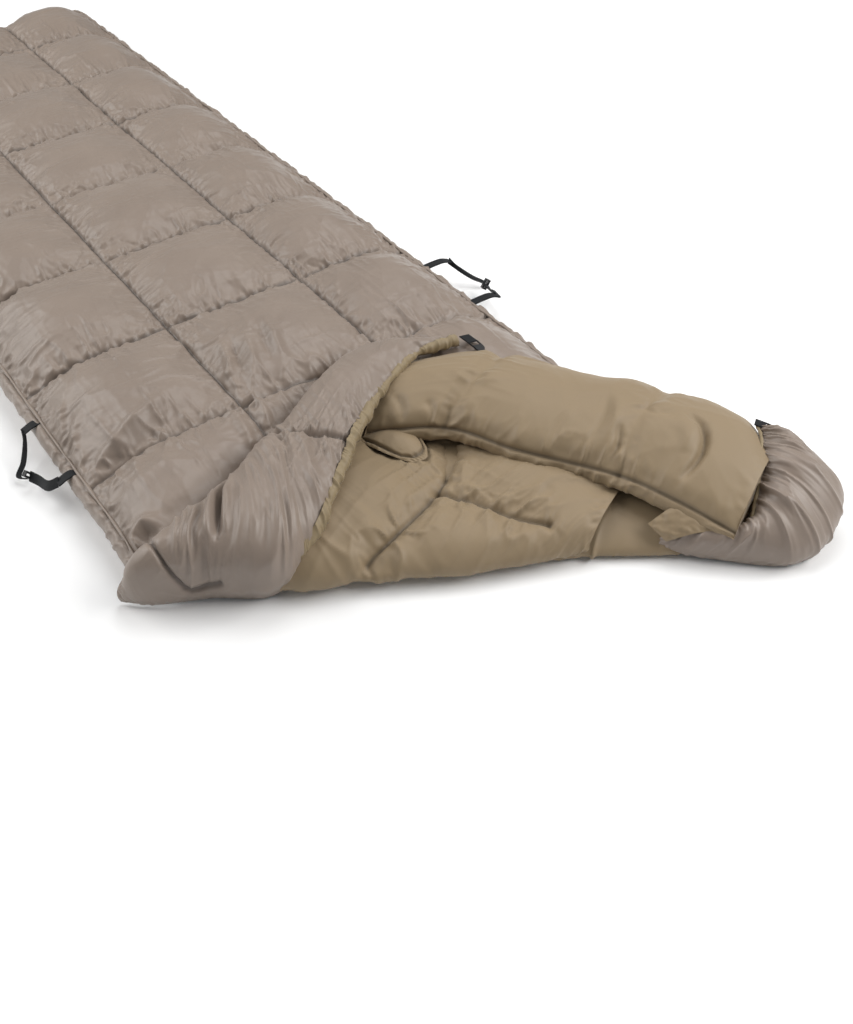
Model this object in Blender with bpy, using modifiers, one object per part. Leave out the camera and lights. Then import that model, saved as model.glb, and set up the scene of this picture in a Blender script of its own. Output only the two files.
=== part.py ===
"""Camp quilt in its bag form, head end open.

Plan coordinates: x runs across from the left side seam, y runs along from the seam of the first
whole row towards the foot, both in metres. `world` moves them to the model's origin, which is the
bottom centre of the object's box. The head end is at -Y and the foot at +Y.
"""

import math

import bpy
from mathutils import Matrix, Vector

# Driving dimensions, in metres.
COLUMNS = 3
ROWS = 7
COLUMN_WIDTH = 0.210
ROW_LENGTH = 0.2136
FABRIC = 0.0010
GAP = 0.0003
BOTTOM_THICKNESS = 0.0345
SLEEPING_GAP = 0.0080
SEAM_HEIGHT = 0.0660
PUFF = 0.0280
GUSSET_BULGE = 0.0200
CELL_STEPS = 4

# Outer reach of the object in plan.
LEFT_REACH = -0.0605
RIGHT_REACH = 0.7080
HEAD_REACH = -0.5610
WIDTH = COLUMNS * COLUMN_WIDTH
LENGTH = ROWS * ROW_LENGTH
FOOT_REACH = LENGTH + GUSSET_BULGE
ORIGIN = Vector(((LEFT_REACH + RIGHT_REACH) / 2, (HEAD_REACH + FOOT_REACH) / 2, 0.0))

# Levels above the ground, from the bottom up.
BOTTOM_FILL_LOW = FABRIC + GAP
BOTTOM_LINING_LOW = BOTTOM_THICKNESS + GAP
BOTTOM_LINING_HIGH = BOTTOM_LINING_LOW + FABRIC
TOP_LINING_LOW = BOTTOM_LINING_HIGH + SLEEPING_GAP
TOP_FILL_LOW = TOP_LINING_LOW + FABRIC + GAP

# The crease that the mouth band is thrown back from, and the lines of the open head end.
CREASE_LEFT = Vector((0.000, -0.165))
CREASE_RIGHT = Vector((0.370, -0.012))
BAND_SETBACK = 0.022
BAND_LOW = 0.0478
BAND_HIGH = 0.0885
FIXED_EDGE = [(0.000, -0.159), (0.370, -0.008), (0.430, -0.048), (0.500, -0.085), (0.630, -0.090)]
MOUTH_EDGE = [
    (0.418, -0.089), (0.360, -0.118), (0.324, -0.141), (0.280, -0.165), (0.218, -0.216), (0.100, -0.262),
]
BAND_SIDE = [(0.050, -0.245), (0.006, -0.212)]
HEM_OFFSET = 0.0045
HEM_RADIUS = 0.0030
HEM_LEVEL = 0.0720
DRAWCORD_RADIUS = 0.0015
DRAWCORD_LEVEL = 0.0640
LEFT_GUSSET_START = -0.125
RIGHT_GUSSET_START = -0.090
HEAD_EDGE = [
    (0.000, -0.127), (-0.022, -0.150), (0.020, -0.208), (0.100, -0.256), (0.200, -0.296), (0.400, -0.396),
    (0.480, -0.434), (0.545, -0.500),
]
CORNER_INNER = [(0.557, -0.512), (0.640, -0.456), (0.695, -0.418)]
CORNER_OUTER = [(0.708, -0.450), (0.708, -0.535), (0.657, -0.561), (0.613, -0.561), (0.575, -0.541)]
RIGHT_EDGE = [(0.680, -0.400), (0.645, -0.310), (WIDTH, -0.200)]
CORNER_HIGH = 0.0740
CORNER_PIPING_RADIUS = 0.0020
CORNER_PIPING_LIFT = 0.0025
CORNER_PIPING_OFFSET = 0.0040

# The draft collar and the line that it folds about.
COLLAR_LOW = 0.0480
COLLAR_HIGH = 0.1000
COLLAR_HINGE = Vector((0.525, -0.127))
COLLAR_ALONG = Vector((0.503, -0.864)).normalized()
COLLAR_FREE_EDGE = [(0.390, -0.213), (0.421, -0.293), (0.484, -0.393), (0.514, -0.462), (0.545, -0.500)]
COLLAR_FOLD_EDGE = [
    (0.683, -0.408), (0.667, -0.402), (0.642, -0.353), (0.607, -0.273), (0.561, -0.214), (0.515, -0.133),
]
COLLAR_HEM_LEVEL = 0.0680
COLLAR_HEM_RADIUS = 0.0020
COLLAR_HEM_OFFSET = 0.0035
TAB_OUTLINE = [(0.290, -0.120), (0.300, -0.175), (0.335, -0.195), (0.369, -0.176), (0.350, -0.120)]
TAB_HIGH = 0.0465

# Webbing and its plastic.
WEBBING = 0.0015
LOOP_WIDTH = 0.0120
LOOP_AXIS_OUT = 0.0225
LOOP_START = 0.0035
LOOP_REACH = 0.0430
LOOP_BEND = 0.0060
LOOP_SHOULDER = Vector((0.0390, 0.0370))
LOOP_TIP = 0.0250
LOOP_MIDDLE = 0.1010
LOOP_HALF_SPAN = 0.0590
LOOP_TILT = math.radians(36)
LOOP_HEIGHT = 0.0350
SLIDER_SIZE = Vector((0.0065, 0.0080, 0.0160))
SLIDER_SLOT = Vector((0.0030, 0.0130))
SLIDER_PLACE = 0.34
STRAP_WIDTH = 0.0160
STRAP_LENGTH = 0.0180
BUCKLE_SIZE = Vector((0.0180, 0.0200, 0.0050))
BUCKLE_ROUNDING = 0.0010
STRAP_A_PLACE = Vector((0.486, -0.0960, 0.0720))
STRAP_A_DROP = math.radians(66)
STRAP_B_PLACE = Vector((0.686, -0.4240, 0.0822))

# Colour, roughness and metallic value of each material.
FINISHES = {
    "shell": ((0.285, 0.235, 0.196), 0.42, 0.0),
    "lining": ((0.335, 0.262, 0.158), 0.55, 0.0),
    "down": ((0.86, 0.84, 0.79), 0.95, 0.0),
    "webbing": ((0.012, 0.012, 0.013), 0.80, 0.0),
    "plastic": ((0.016, 0.016, 0.018), 0.40, 0.0),
    "cord": ((0.30, 0.24, 0.13), 0.70, 0.0),
}


def world(x, y, z=0.0):
    """A plan point, moved to the model's frame."""
    return Vector((x, y, z)) - ORIGIN


def clear_scene():
    for obj in list(bpy.data.objects):
        bpy.data.objects.remove(obj, do_unlink=True)


def new_collection(name):
    collection = bpy.data.collections.new(name)
    bpy.context.scene.collection.children.link(collection)
    return collection


def new_material(name):
    colour, roughness, metallic = FINISHES[name]
    material = bpy.data.materials.new(name)
    material.use_nodes = True
    shader = material.node_tree.nodes["Principled BSDF"]
    shader.inputs["Base Color"].default_value = (*colour, 1.0)
    shader.inputs["Roughness"].default_value = roughness
    shader.inputs["Metallic"].default_value = metallic
    material.diffuse_color = (*colour, 1.0)
    return material


def add_object(name, data, material, pivot=None):
    """Put new data in the scene at its pivot empty, or at the origin."""
    obj = bpy.data.objects.new(name, data)
    PARTS.objects.link(obj)
    data.materials.append(MATERIALS[material])
    if pivot:
        obj.parent = pivot
    return obj


def add_pivot(name, place, turn=None):
    """An empty on a joint's axis."""
    pivot = bpy.data.objects.new(name, None)
    PARTS.objects.link(pivot)
    pivot.matrix_world = Matrix.Translation(place) @ (turn or Matrix.Identity(4))
    return pivot


def rounded(points, radius, steps=4):
    """The open outline with each inner corner replaced by a curve of about this radius."""
    points = [Vector(point) for point in points]
    smooth = [points[0]]
    for before, corner, after in zip(points, points[1:], points[2:]):
        start = corner + (before - corner).normalized() * min(radius, (before - corner).length * 0.45)
        end = corner + (after - corner).normalized() * min(radius, (after - corner).length * 0.45)
        for step in range(steps + 1):
            t = step / steps
            smooth.append((1 - t) ** 2 * start + 2 * t * (1 - t) * corner + t**2 * end)
    smooth.append(points[-1])
    return smooth


def strip_outline(path, thickness):
    """The closed outline of a strip of this thickness along an open path."""
    left = []
    right = []
    for index, point in enumerate(path):
        before = path[max(index - 1, 0)]
        after = path[min(index + 1, len(path) - 1)]
        side = Vector((before.y - after.y, after.x - before.x)).normalized() * thickness / 2
        left.append(point + side)
        right.append(point - side)
    return left + right[::-1]


def flat_piece(name, outline, low, high, material, pivot=None):
    """A plate with this outline between two levels, both measured from its pivot if it has one."""
    curve = bpy.data.curves.new(name, "CURVE")
    curve.dimensions = "2D"
    curve.fill_mode = "BOTH"
    curve.extrude = (high - low) / 2
    spline = curve.splines.new("POLY")
    spline.points.add(len(outline) - 1)
    for point, place in zip(spline.points, outline):
        point.co = (place[0], place[1], 0.0, 1.0)
    spline.use_cyclic_u = True
    obj = add_object(name, curve, material, pivot)
    obj.location.z = (low + high) / 2
    return obj


def fixed_plate(name, outline, low, high, material):
    return flat_piece(name, [world(*point).xy for point in outline], low, high, material)


def hinged_plate(name, outline, low, high, material, pivot):
    """A plate given in plan, on a pivot whose axes are the world's."""
    base = pivot.matrix_world.translation
    local = [world(*point).xy - base.xy for point in outline]
    return flat_piece(name, local, low - base.z, high - base.z, material, pivot)


def tube(name, points, radius, material, pivot=None):
    """A cord or piping along these points, given in the frame of its pivot."""
    curve = bpy.data.curves.new(name, "CURVE")
    curve.dimensions = "3D"
    curve.bevel_depth = radius
    curve.bevel_resolution = 2
    curve.use_fill_caps = True
    spline = curve.splines.new("POLY")
    spline.points.add(len(points) - 1)
    for point, place in zip(spline.points, points):
        point.co = (*place, 1.0)
    return add_object(name, curve, material, pivot)


def mesh_object(name, vertices, faces, material, pivot=None):
    mesh = bpy.data.meshes.new(name)
    mesh.from_pydata([tuple(vertex) for vertex in vertices], [], faces)
    return add_object(name, mesh, material, pivot)


def box_object(name, low, high, material, pivot=None):
    """A plain box, from a primitive cube stretched to its two corners."""
    low = Vector(low)
    high = Vector(high)
    bpy.ops.mesh.primitive_cube_add(size=1.0)
    primitive = bpy.context.active_object
    mesh = primitive.data
    bpy.data.objects.remove(primitive)
    mesh.name = name
    mesh.transform(Matrix.Translation((low + high) / 2) @ Matrix.Diagonal((*(high - low), 1.0)))
    return add_object(name, mesh, material, pivot)


def cushion_rise(share_x, share_y):
    """How far a chamber stands above its seams at this share of its width and length."""
    return PUFF * 4 * share_x * (1 - share_x) * 4 * share_y * (1 - share_y)


def rising_grid(low_x, low_y, cells_x, cells_y, level, inset=0.0):
    """Vertices and faces of a surface that rises inside each chamber and comes down to its seams."""
    count_x = cells_x * CELL_STEPS + 1
    count_y = cells_y * CELL_STEPS + 1
    width = cells_x * COLUMN_WIDTH - 2 * inset
    length = cells_y * ROW_LENGTH - 2 * inset
    vertices = []
    for j in range(count_y):
        for i in range(count_x):
            x = low_x + inset + width * i / (count_x - 1)
            y = low_y + inset + length * j / (count_y - 1)
            share_x = i % CELL_STEPS / CELL_STEPS
            share_y = j % CELL_STEPS / CELL_STEPS
            vertices.append(world(x, y, level + cushion_rise(share_x, share_y)))
    faces = []
    for j in range(count_y - 1):
        for i in range(count_x - 1):
            corner = j * count_x + i
            opposite = corner + count_x + 1
            faces.append((corner, corner + 1, opposite))
            faces.append((corner, opposite, opposite - 1))
    return vertices, faces


def make_bottom():
    """Shell, down and lining of the layer that is lain on."""
    sides = [(WIDTH, LENGTH), (0.0, LENGTH)]
    shell = HEAD_EDGE + CORNER_OUTER[::-1] + RIGHT_EDGE + [(WIDTH, RIGHT_GUSSET_START)] + sides
    fixed_plate("bottom_shell", shell, 0.0, FABRIC, "shell")
    lining = HEAD_EDGE + RIGHT_EDGE + [(WIDTH, RIGHT_GUSSET_START)] + sides
    fixed_plate("bottom_lining", lining, BOTTOM_LINING_LOW, BOTTOM_LINING_HIGH, "lining")
    for column, name in enumerate(("left", "middle", "right")):
        low = world(column * COLUMN_WIDTH + GAP, GAP, BOTTOM_FILL_LOW)
        high = world((column + 1) * COLUMN_WIDTH - GAP, LENGTH - GAP, BOTTOM_THICKNESS)
        box_object(f"bottom_fill_{name}", low, high, "down")
    head = HEAD_EDGE + RIGHT_EDGE + [(WIDTH, -GAP), (0.0, -GAP)]
    fixed_plate("head_fill", head, BOTTOM_FILL_LOW, BOTTOM_THICKNESS, "down")


def make_top():
    """Lining, one body of down to each chamber, and the quilted shell of the upper layer."""
    lining = FIXED_EDGE + [(WIDTH, LENGTH), (0.0, LENGTH)]
    fixed_plate("top_lining", lining, TOP_LINING_LOW, TOP_LINING_LOW + FABRIC, "lining")
    for row in range(ROWS):
        for column, name in enumerate(("left", "middle", "right")):
            level = SEAM_HEIGHT - GAP
            place = (column * COLUMN_WIDTH, row * ROW_LENGTH)
            vertices, faces = rising_grid(*place, 1, 1, level, inset=GAP)
            chamber = mesh_object(f"top_fill_row{row + 1}_{name}", vertices, faces, "down")
            close_down_to(chamber, TOP_FILL_LOW)
    vertices, faces = rising_grid(0.0, 0.0, COLUMNS, ROWS, SEAM_HEIGHT + FABRIC)
    shell = mesh_object("top_shell", vertices, faces, "shell")
    close_down_by(shell, FABRIC - GAP / 2)
    edge = FIXED_EDGE + [(WIDTH, -GAP), (0.0, -GAP)]
    fill_high = SEAM_HEIGHT + PUFF / 2
    fixed_plate("head_row_fill", edge, TOP_FILL_LOW, fill_high, "down")
    fixed_plate("head_row_shell", edge, fill_high + GAP, fill_high + GAP + FABRIC, "shell")


def border_of(obj):
    """The mesh's outer edge, as vertex numbers in order round it."""
    following = {}
    used = {}
    for face in obj.data.polygons:
        for key, (a, b) in zip(face.edge_keys, zip(face.vertices, [*face.vertices[1:], face.vertices[0]])):
            used.setdefault(key, []).append((a, b))
    for pairs in used.values():
        if len(pairs) == 1:
            following[pairs[0][0]] = pairs[0][1]
    start = next(iter(following))
    loop = [start]
    while following[loop[-1]] != start:
        loop.append(following[loop[-1]])
    return loop


def close_with(obj, lower):
    """Make an open surface a closed solid, with this lower copy of its vertices below it."""
    mesh = obj.data
    upper = [vertex.co.copy() for vertex in mesh.vertices]
    faces = [tuple(face.vertices) for face in mesh.polygons]
    count = len(upper)
    loop = border_of(obj)
    solid = list(faces)
    solid += [tuple(index + count for index in reversed(face)) for face in faces]
    for a, b in zip(loop, loop[1:] + loop[:1]):
        solid.append((b, a, a + count, b + count))
    mesh.clear_geometry()
    mesh.from_pydata([tuple(vertex) for vertex in upper + lower], [], solid)


def close_down_to(obj, level):
    close_with(obj, [Vector((vertex.co.x, vertex.co.y, level)) for vertex in obj.data.vertices])


def close_down_by(obj, depth):
    close_with(obj, [vertex.co - Vector((0.0, 0.0, depth)) for vertex in obj.data.vertices])


def gusset_profile(inset, steps=8):
    """The half-round cross-section of a side gusset, from top to bottom: how far out, and how high."""
    middle = (SEAM_HEIGHT + FABRIC) / 2
    points = []
    for step in range(steps + 1):
        angle = math.pi / 2 - math.pi * step / steps
        points.append(((GUSSET_BULGE - inset) * math.cos(angle), middle + (middle - inset) * math.sin(angle)))
    return points


def prism(name, profile, start, end, outward, material):
    """A solid with this closed cross-section, run along the line from start to end."""
    vertices = []
    for place in (start, end):
        for out, height in profile:
            vertices.append(place + outward * out + Vector((0.0, 0.0, height)))
    count = len(profile)
    faces = [tuple(range(count)), tuple(range(2 * count - 1, count - 1, -1))]
    for index in range(count):
        following = (index + 1) % count
        faces.append((index + count, following + count, following, index))
    obj = mesh_object(name, vertices, faces, material)
    if signed_volume(obj.data) < 0:
        obj.data.flip_normals()
    return obj


def signed_volume(mesh):
    mesh.calc_loop_triangles()
    total = 0.0
    for triangle in mesh.loop_triangles:
        a, b, c = (mesh.vertices[index].co for index in triangle.vertices)
        total += a.dot(b.cross(c))
    return total


def make_gusset(name, start, end, outward):
    """The strip that closes one edge from the top layer to the bottom layer, and the down behind it."""
    skin = gusset_profile(0.0) + gusset_profile(FABRIC)[::-1]
    prism(name, skin, start, end, outward, "shell")
    fill = gusset_profile(FABRIC + GAP)
    prism(f"{name}_fill", fill, start, end, outward, "down")


def make_gussets():
    left_start = world(-GAP, LEFT_GUSSET_START)
    make_gusset("left_gusset", left_start, world(-GAP, LENGTH - GAP), Vector((-1.0, 0.0, 0.0)))
    right_start = world(WIDTH + GAP, RIGHT_GUSSET_START)
    make_gusset("right_gusset", right_start, world(WIDTH + GAP, LENGTH - GAP), Vector((1.0, 0.0, 0.0)))
    foot_left = world(-GUSSET_BULGE, LENGTH)
    make_gusset("foot_gusset", foot_left, world(WIDTH + GUSSET_BULGE, LENGTH), Vector((0.0, 1.0, 0.0)))


def make_mouth_band():
    """The thrown-back last row of the upper layer, which lifts about the crease."""
    pivot = add_pivot("mouth_band_pivot", world(*CREASE_LEFT, SEAM_HEIGHT))
    along = (CREASE_RIGHT - CREASE_LEFT).normalized()
    ahead = Vector((along.y, -along.x)) * BAND_SETBACK
    back = [CREASE_LEFT + ahead, CREASE_RIGHT + ahead]
    outline = back + MOUTH_EDGE + BAND_SIDE
    fill_low = BAND_LOW + FABRIC + GAP
    fill_high = BAND_HIGH - FABRIC - GAP
    hinged_plate("mouth_band_lining", outline, BAND_LOW, BAND_LOW + FABRIC, "lining", pivot)
    hinged_plate("mouth_band_fill", outline, fill_low, fill_high, "down", pivot)
    hinged_plate("mouth_band_shell", outline, BAND_HIGH - FABRIC, BAND_HIGH, "shell", pivot)
    tube("mouth_hem", mouth_edge_route(pivot, HEM_LEVEL), HEM_RADIUS, "cord", pivot)
    tube("mouth_drawcord", mouth_edge_route(pivot, DRAWCORD_LEVEL), DRAWCORD_RADIUS, "cord", pivot)


def mouth_edge_route(pivot, level):
    """Points along the mouth edge, just clear of the band, in its pivot's frame."""
    edge = [Vector(point) for point in MOUTH_EDGE]
    route = []
    for index, point in enumerate(edge):
        before = edge[max(index - 1, 0)]
        after = edge[min(index + 1, len(edge) - 1)]
        outward = Vector((before.y - after.y, after.x - before.x)).normalized() * HEM_OFFSET
        route.append(world(*(point + outward), level) - pivot.matrix_world.translation)
    return route


def make_collar():
    """The draft collar, which folds up about its outer edge, and the tab at its other end."""
    pivot = add_pivot("collar_pivot", world(*COLLAR_HINGE, COLLAR_LOW))
    outline = COLLAR_FREE_EDGE + COLLAR_FOLD_EDGE
    fill_low = COLLAR_LOW + FABRIC + GAP
    fill_high = COLLAR_HIGH - FABRIC - GAP
    hinged_plate("collar_underside", outline, COLLAR_LOW, COLLAR_LOW + FABRIC, "lining", pivot)
    hinged_plate("collar_fill", outline, fill_low, fill_high, "down", pivot)
    hinged_plate("collar_cover", outline, COLLAR_HIGH - FABRIC, COLLAR_HIGH, "lining", pivot)
    hem = []
    for point in COLLAR_FREE_EDGE:
        outward = Vector((COLLAR_ALONG.y, -COLLAR_ALONG.x)) * COLLAR_HEM_OFFSET
        hem.append(world(*(Vector(point) + outward), COLLAR_HEM_LEVEL) - pivot.matrix_world.translation)
    tube("collar_hem", hem, COLLAR_HEM_RADIUS, "lining", pivot)
    fixed_plate("collar_tab", TAB_OUTLINE, BOTTOM_LINING_HIGH + GAP, TAB_HIGH, "lining")


def make_hood_corner():
    """The head corner where the shell wraps up over its own down."""
    outline = CORNER_INNER + CORNER_OUTER
    fixed_plate("hood_corner_fill", outline, BOTTOM_FILL_LOW, CORNER_HIGH, "down")
    fixed_plate("hood_corner_shell", outline, CORNER_HIGH + GAP, CORNER_HIGH + GAP + FABRIC, "shell")
    lift = CORNER_HIGH + GAP + FABRIC + CORNER_PIPING_LIFT
    offset = CORNER_PIPING_OFFSET
    route = [world(x + offset, y - offset, lift) for x, y in CORNER_INNER]
    tube("hood_corner_piping", route, CORNER_PIPING_RADIUS, "cord")


def loop_path():
    """Centre line of a pad loop: distance out from its hinge, and distance along the side from its middle."""
    corners = [
        (LOOP_START, LOOP_HALF_SPAN),
        LOOP_SHOULDER,
        (LOOP_REACH, LOOP_TIP),
        (LOOP_START, -LOOP_HALF_SPAN),
    ]
    return rounded(corners, LOOP_BEND)


def make_pad_loop(side):
    """A webbing loop sewn to a side seam, tilted down to the ground, with a slotted slider on it."""
    outward = -1.0 if side == "left" else 1.0
    edge = -LOOP_AXIS_OUT if side == "left" else WIDTH + LOOP_AXIS_OUT
    tilt = Matrix.Rotation(outward * LOOP_TILT, 4, "Y")
    pivot = add_pivot(f"{side}_loop_pivot", world(edge, LOOP_MIDDLE, LOOP_HEIGHT), tilt)
    path = [Vector((outward * point.x, point.y)) for point in loop_path()]
    outline = strip_outline(path, WEBBING)
    flat_piece(f"{side}_pad_loop", outline, -LOOP_WIDTH / 2, LOOP_WIDTH / 2, "webbing", pivot)
    end = path[-1]
    bend = path[-2]
    along = (end - bend).normalized()
    place = bend + (end - bend) * SLIDER_PLACE
    turn = Matrix.Rotation(math.atan2(along.y, along.x), 4, "Z")
    half = SLIDER_SIZE / 2
    slider = box_object(f"{side}_slider", -half, half, "plastic", pivot)
    slot_half = Vector((SLIDER_SIZE.x, SLIDER_SLOT.x / 2, SLIDER_SLOT.y / 2))
    cutter = box_object(f"{side}_slider_slot", -slot_half, slot_half, "plastic", pivot)
    for piece in (slider, cutter):
        piece.matrix_local = Matrix.Translation((*place, 0.0)) @ turn
    PARTS.objects.unlink(cutter)
    CUTTERS.objects.link(cutter)
    cutter.hide_render = True
    cutter.display_type = "WIRE"
    cut = slider.modifiers.new("slot", "BOOLEAN")
    cut.operation = "DIFFERENCE"
    cut.object = cutter


def make_mouth_strap(name, place, drop):
    """A short strap with a buckle half, which runs to -Y from its sewn end and drops by this angle."""
    turn = Matrix.Rotation(drop, 4, "X")
    pivot = add_pivot(f"{name}_pivot", world(*place), turn)
    half = STRAP_WIDTH / 2
    strap_low = (-half, -STRAP_LENGTH, -WEBBING / 2)
    box_object(name, strap_low, (half, 0.0, WEBBING / 2), "webbing", pivot)
    buckle_start = -STRAP_LENGTH - GAP
    buckle_low = (-BUCKLE_SIZE.x / 2, buckle_start - BUCKLE_SIZE.y, -BUCKLE_SIZE.z / 2)
    buckle_high = (BUCKLE_SIZE.x / 2, buckle_start, BUCKLE_SIZE.z / 2)
    buckle = box_object(f"{name}_buckle", buckle_low, buckle_high, "plastic", pivot)
    bevel = buckle.modifiers.new("round", "BEVEL")
    bevel.width = BUCKLE_ROUNDING
    bevel.segments = 1


clear_scene()
PARTS = new_collection("camp_quilt")
CUTTERS = new_collection("cutters")
MATERIALS = {finish: new_material(finish) for finish in FINISHES}

make_bottom()
make_top()
make_gussets()
make_mouth_band()
make_collar()
make_hood_corner()
make_pad_loop("left")
make_pad_loop("right")
make_mouth_strap("mouth_strap_a", STRAP_A_PLACE, STRAP_A_DROP)
make_mouth_strap("mouth_strap_b", STRAP_B_PLACE, 0.0)
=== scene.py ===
import math

import bmesh
import bpy
import numpy as np
from mathutils import Matrix, Vector


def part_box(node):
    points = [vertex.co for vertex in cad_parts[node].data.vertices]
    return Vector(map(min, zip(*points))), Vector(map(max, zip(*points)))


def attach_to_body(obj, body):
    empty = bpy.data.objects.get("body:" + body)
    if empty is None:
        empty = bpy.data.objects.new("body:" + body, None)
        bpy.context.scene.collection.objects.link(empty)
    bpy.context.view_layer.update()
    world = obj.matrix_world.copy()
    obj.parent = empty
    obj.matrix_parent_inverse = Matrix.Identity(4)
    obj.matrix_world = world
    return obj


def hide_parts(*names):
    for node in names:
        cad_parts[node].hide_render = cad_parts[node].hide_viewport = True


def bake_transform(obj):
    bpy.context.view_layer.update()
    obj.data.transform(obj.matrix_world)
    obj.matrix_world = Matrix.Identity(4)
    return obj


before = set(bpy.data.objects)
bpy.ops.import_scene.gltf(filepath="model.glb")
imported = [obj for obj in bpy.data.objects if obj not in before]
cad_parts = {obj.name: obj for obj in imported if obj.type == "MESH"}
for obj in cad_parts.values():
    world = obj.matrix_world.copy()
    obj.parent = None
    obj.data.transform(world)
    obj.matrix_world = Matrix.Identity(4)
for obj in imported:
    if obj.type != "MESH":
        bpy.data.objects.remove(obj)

for leftover in ("Cube", "Light", "Camera"):
    if leftover in bpy.data.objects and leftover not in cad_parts:
        bpy.data.objects.remove(bpy.data.objects[leftover])
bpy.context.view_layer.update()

# Everything below is laid out from one plan: x across from the left side seam, y along from the seam
# of the first whole row of cells towards the foot, z up from the ground, all in metres.
SHELL_LOW, SHELL_HIGH = (np.array(corner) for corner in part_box("top_shell"))
ORIGIN = np.array([-SHELL_LOW[0], -SHELL_LOW[1], 0.0])
COLUMNS, ROWS = 3, 7
WIDTH, LENGTH = (SHELL_HIGH - SHELL_LOW)[:2]
COLUMN, ROW = WIDTH / COLUMNS, LENGTH / ROWS
SEAM_LEVEL = float(SHELL_LOW[2])
SIDE_LEVEL = 0.040
HEAD_REACH = 0.25
FINE = 3
# The third number is how wide the painted shade along each seam is: it darkens the fabric's colour in the
# groove, where shadow falls.
STITCH_DEPTH, STITCH_WIDTH, STITCH_SHADE_WIDTH = 0.0034, 0.0026, 0.0022
GROUND_GAP = 0.0008
CEILING, CROWN_PRESS = 0.106, 0.45  # crowns above this level are pressed down by this share


# ---------------------------------------------------------------- numbers and surfaces

def smooth(x, low=0.0, high=1.0):
    t = np.clip((x - low) / (high - low), 0.0, 1.0)
    return t * t * (3 - 2 * t)


def noise(x, y, seed):
    """Smooth random waves between -1 and 1, about one to each unit of x and of y."""
    table = np.random.default_rng(seed).uniform(-1, 1, (64, 64))
    column, row = np.floor(x).astype(int), np.floor(y).astype(int)
    part_x, part_y = smooth(x - column), smooth(y - row)

    def corner(i, j):
        return table[(column + i) % 64, (row + j) % 64]

    low = corner(0, 0) * (1 - part_x) + corner(1, 0) * part_x
    high = corner(0, 1) * (1 - part_x) + corner(1, 1) * part_x
    return low * (1 - part_y) + high * part_y


def spline_weights(knots, x):
    """Rows of weights that turn the values at the knots into a smooth curve's values at x."""
    knots = np.asarray(knots, float)
    count = len(knots)
    x = np.clip(x, knots[0], knots[-1])
    i = np.clip(np.searchsorted(knots, x, side="right") - 1, 0, count - 2)
    gap = knots[i + 1] - knots[i]
    t = ((x - knots[i]) / gap)[:, None]
    before = np.clip(np.arange(count) - 1, 0, None)
    after = np.clip(np.arange(count) + 1, None, count - 1)
    unit = np.eye(count)
    slope = (unit[after] - unit[before]) / (knots[after] - knots[before])[:, None]
    gap = gap[:, None]
    return (
        (1 + 2 * t) * (1 - t) ** 2 * unit[i]
        + t * (1 - t) ** 2 * gap * slope[i]
        + t * t * (3 - 2 * t) * unit[i + 1]
        + t * t * (t - 1) * gap * slope[i + 1]
    )


def curve(points, count=None, at=None):
    """Points along a smooth curve through these, evenly spaced in length, or at these shares of it."""
    points = np.array(points, float)
    knots = np.concatenate([[0], np.cumsum(np.linalg.norm(np.diff(points, axis=0), axis=1))])
    at = np.linspace(0, 1, count) if at is None else np.asarray(at)
    return spline_weights(knots, at * knots[-1]) @ points


def surface(along, across, rows):
    """A smooth sheet as a function of shares u, v: one row of points for each knot along."""
    rows = np.array(rows, float)

    def at(u, v):
        weights = spline_weights(across, v)
        total = np.zeros((len(u), 3))
        for k, weight in enumerate(spline_weights(along, u).T):
            total += weight[:, None] * (weights @ rows[k])
        return total

    return at


def rows_between(near, far, shares, levels):
    """Rows for a surface: points at these shares of the way from near to far, each at its level."""
    return [[(a[0] + share * (b[0] - a[0]), a[1] + share * (b[1] - a[1]), level)
             for share, level in zip(shares, levels)] for a, b in zip(near, far)]


def normals_of(at, u, v, facing, step=0.002):
    """Unit normals on the side that faces this way on the whole, and whether u x v is that side."""
    along = at(np.clip(u + step, 0, 1), v) - at(np.clip(u - step, 0, 1), v)
    across = at(u, np.clip(v + step, 0, 1)) - at(u, np.clip(v - step, 0, 1))
    normal = np.cross(along, across)
    normal /= np.maximum(np.linalg.norm(normal, axis=1), 1e-9)[:, None]
    upright = bool((normal @ np.array(facing, float)).mean() > 0)
    return (normal if upright else -normal), upright


def distance_to(x, y, line):
    """How far each point is from a line of points, and the share of the line where it is nearest."""
    best = np.full(x.shape, 1e9)
    share = np.zeros(x.shape)
    line = np.asarray(line, float)
    last = len(line) - 1
    for k in range(last):
        (ax, ay), (bx, by) = line[k][:2], line[k + 1][:2]
        length = (bx - ax) ** 2 + (by - ay) ** 2
        t = np.clip(((x - ax) * (bx - ax) + (y - ay) * (by - ay)) / length, 0, 1)
        away = np.hypot(x - ax - t * (bx - ax), y - ay - t * (by - ay))
        nearer = away < best
        best = np.where(nearer, away, best)
        share = np.where(nearer, (k + t) / last, share)
    return best, share


def trace(base, size, points):
    """A seam's own coordinates on a panel, from plan points: where the base comes nearest to each."""
    u, v = (share.ravel() for share in np.meshgrid(np.linspace(0, 1, 180), np.linspace(0, 1, 90)))
    sheet = base(u, v)
    found = []
    for x, y in points:
        k = np.argmin(np.hypot(sheet[:, 0] - x, sheet[:, 1] - y) - 0.1 * sheet[:, 2])
        found.append((u[k] * size[0], v[k] * size[1]))
    return [tuple(point) for point in curve(found, 16)]


# ---------------------------------------------------------------- wrinkles

def ridges(a, b, seed, sharp=2.2):
    """Narrow crests with broad valleys between them, about one to each unit of a."""
    a = a + 0.35 * noise(b * 1.7, a * 0.5, seed + 2)
    first = (1 - np.abs(noise(a, b, seed))) ** sharp
    second = (1 - np.abs(noise(a * 1.9 + 7, b * 1.4 + 3, seed + 1))) ** sharp
    return first * 0.7 + second * 0.3 - 0.35


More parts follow.
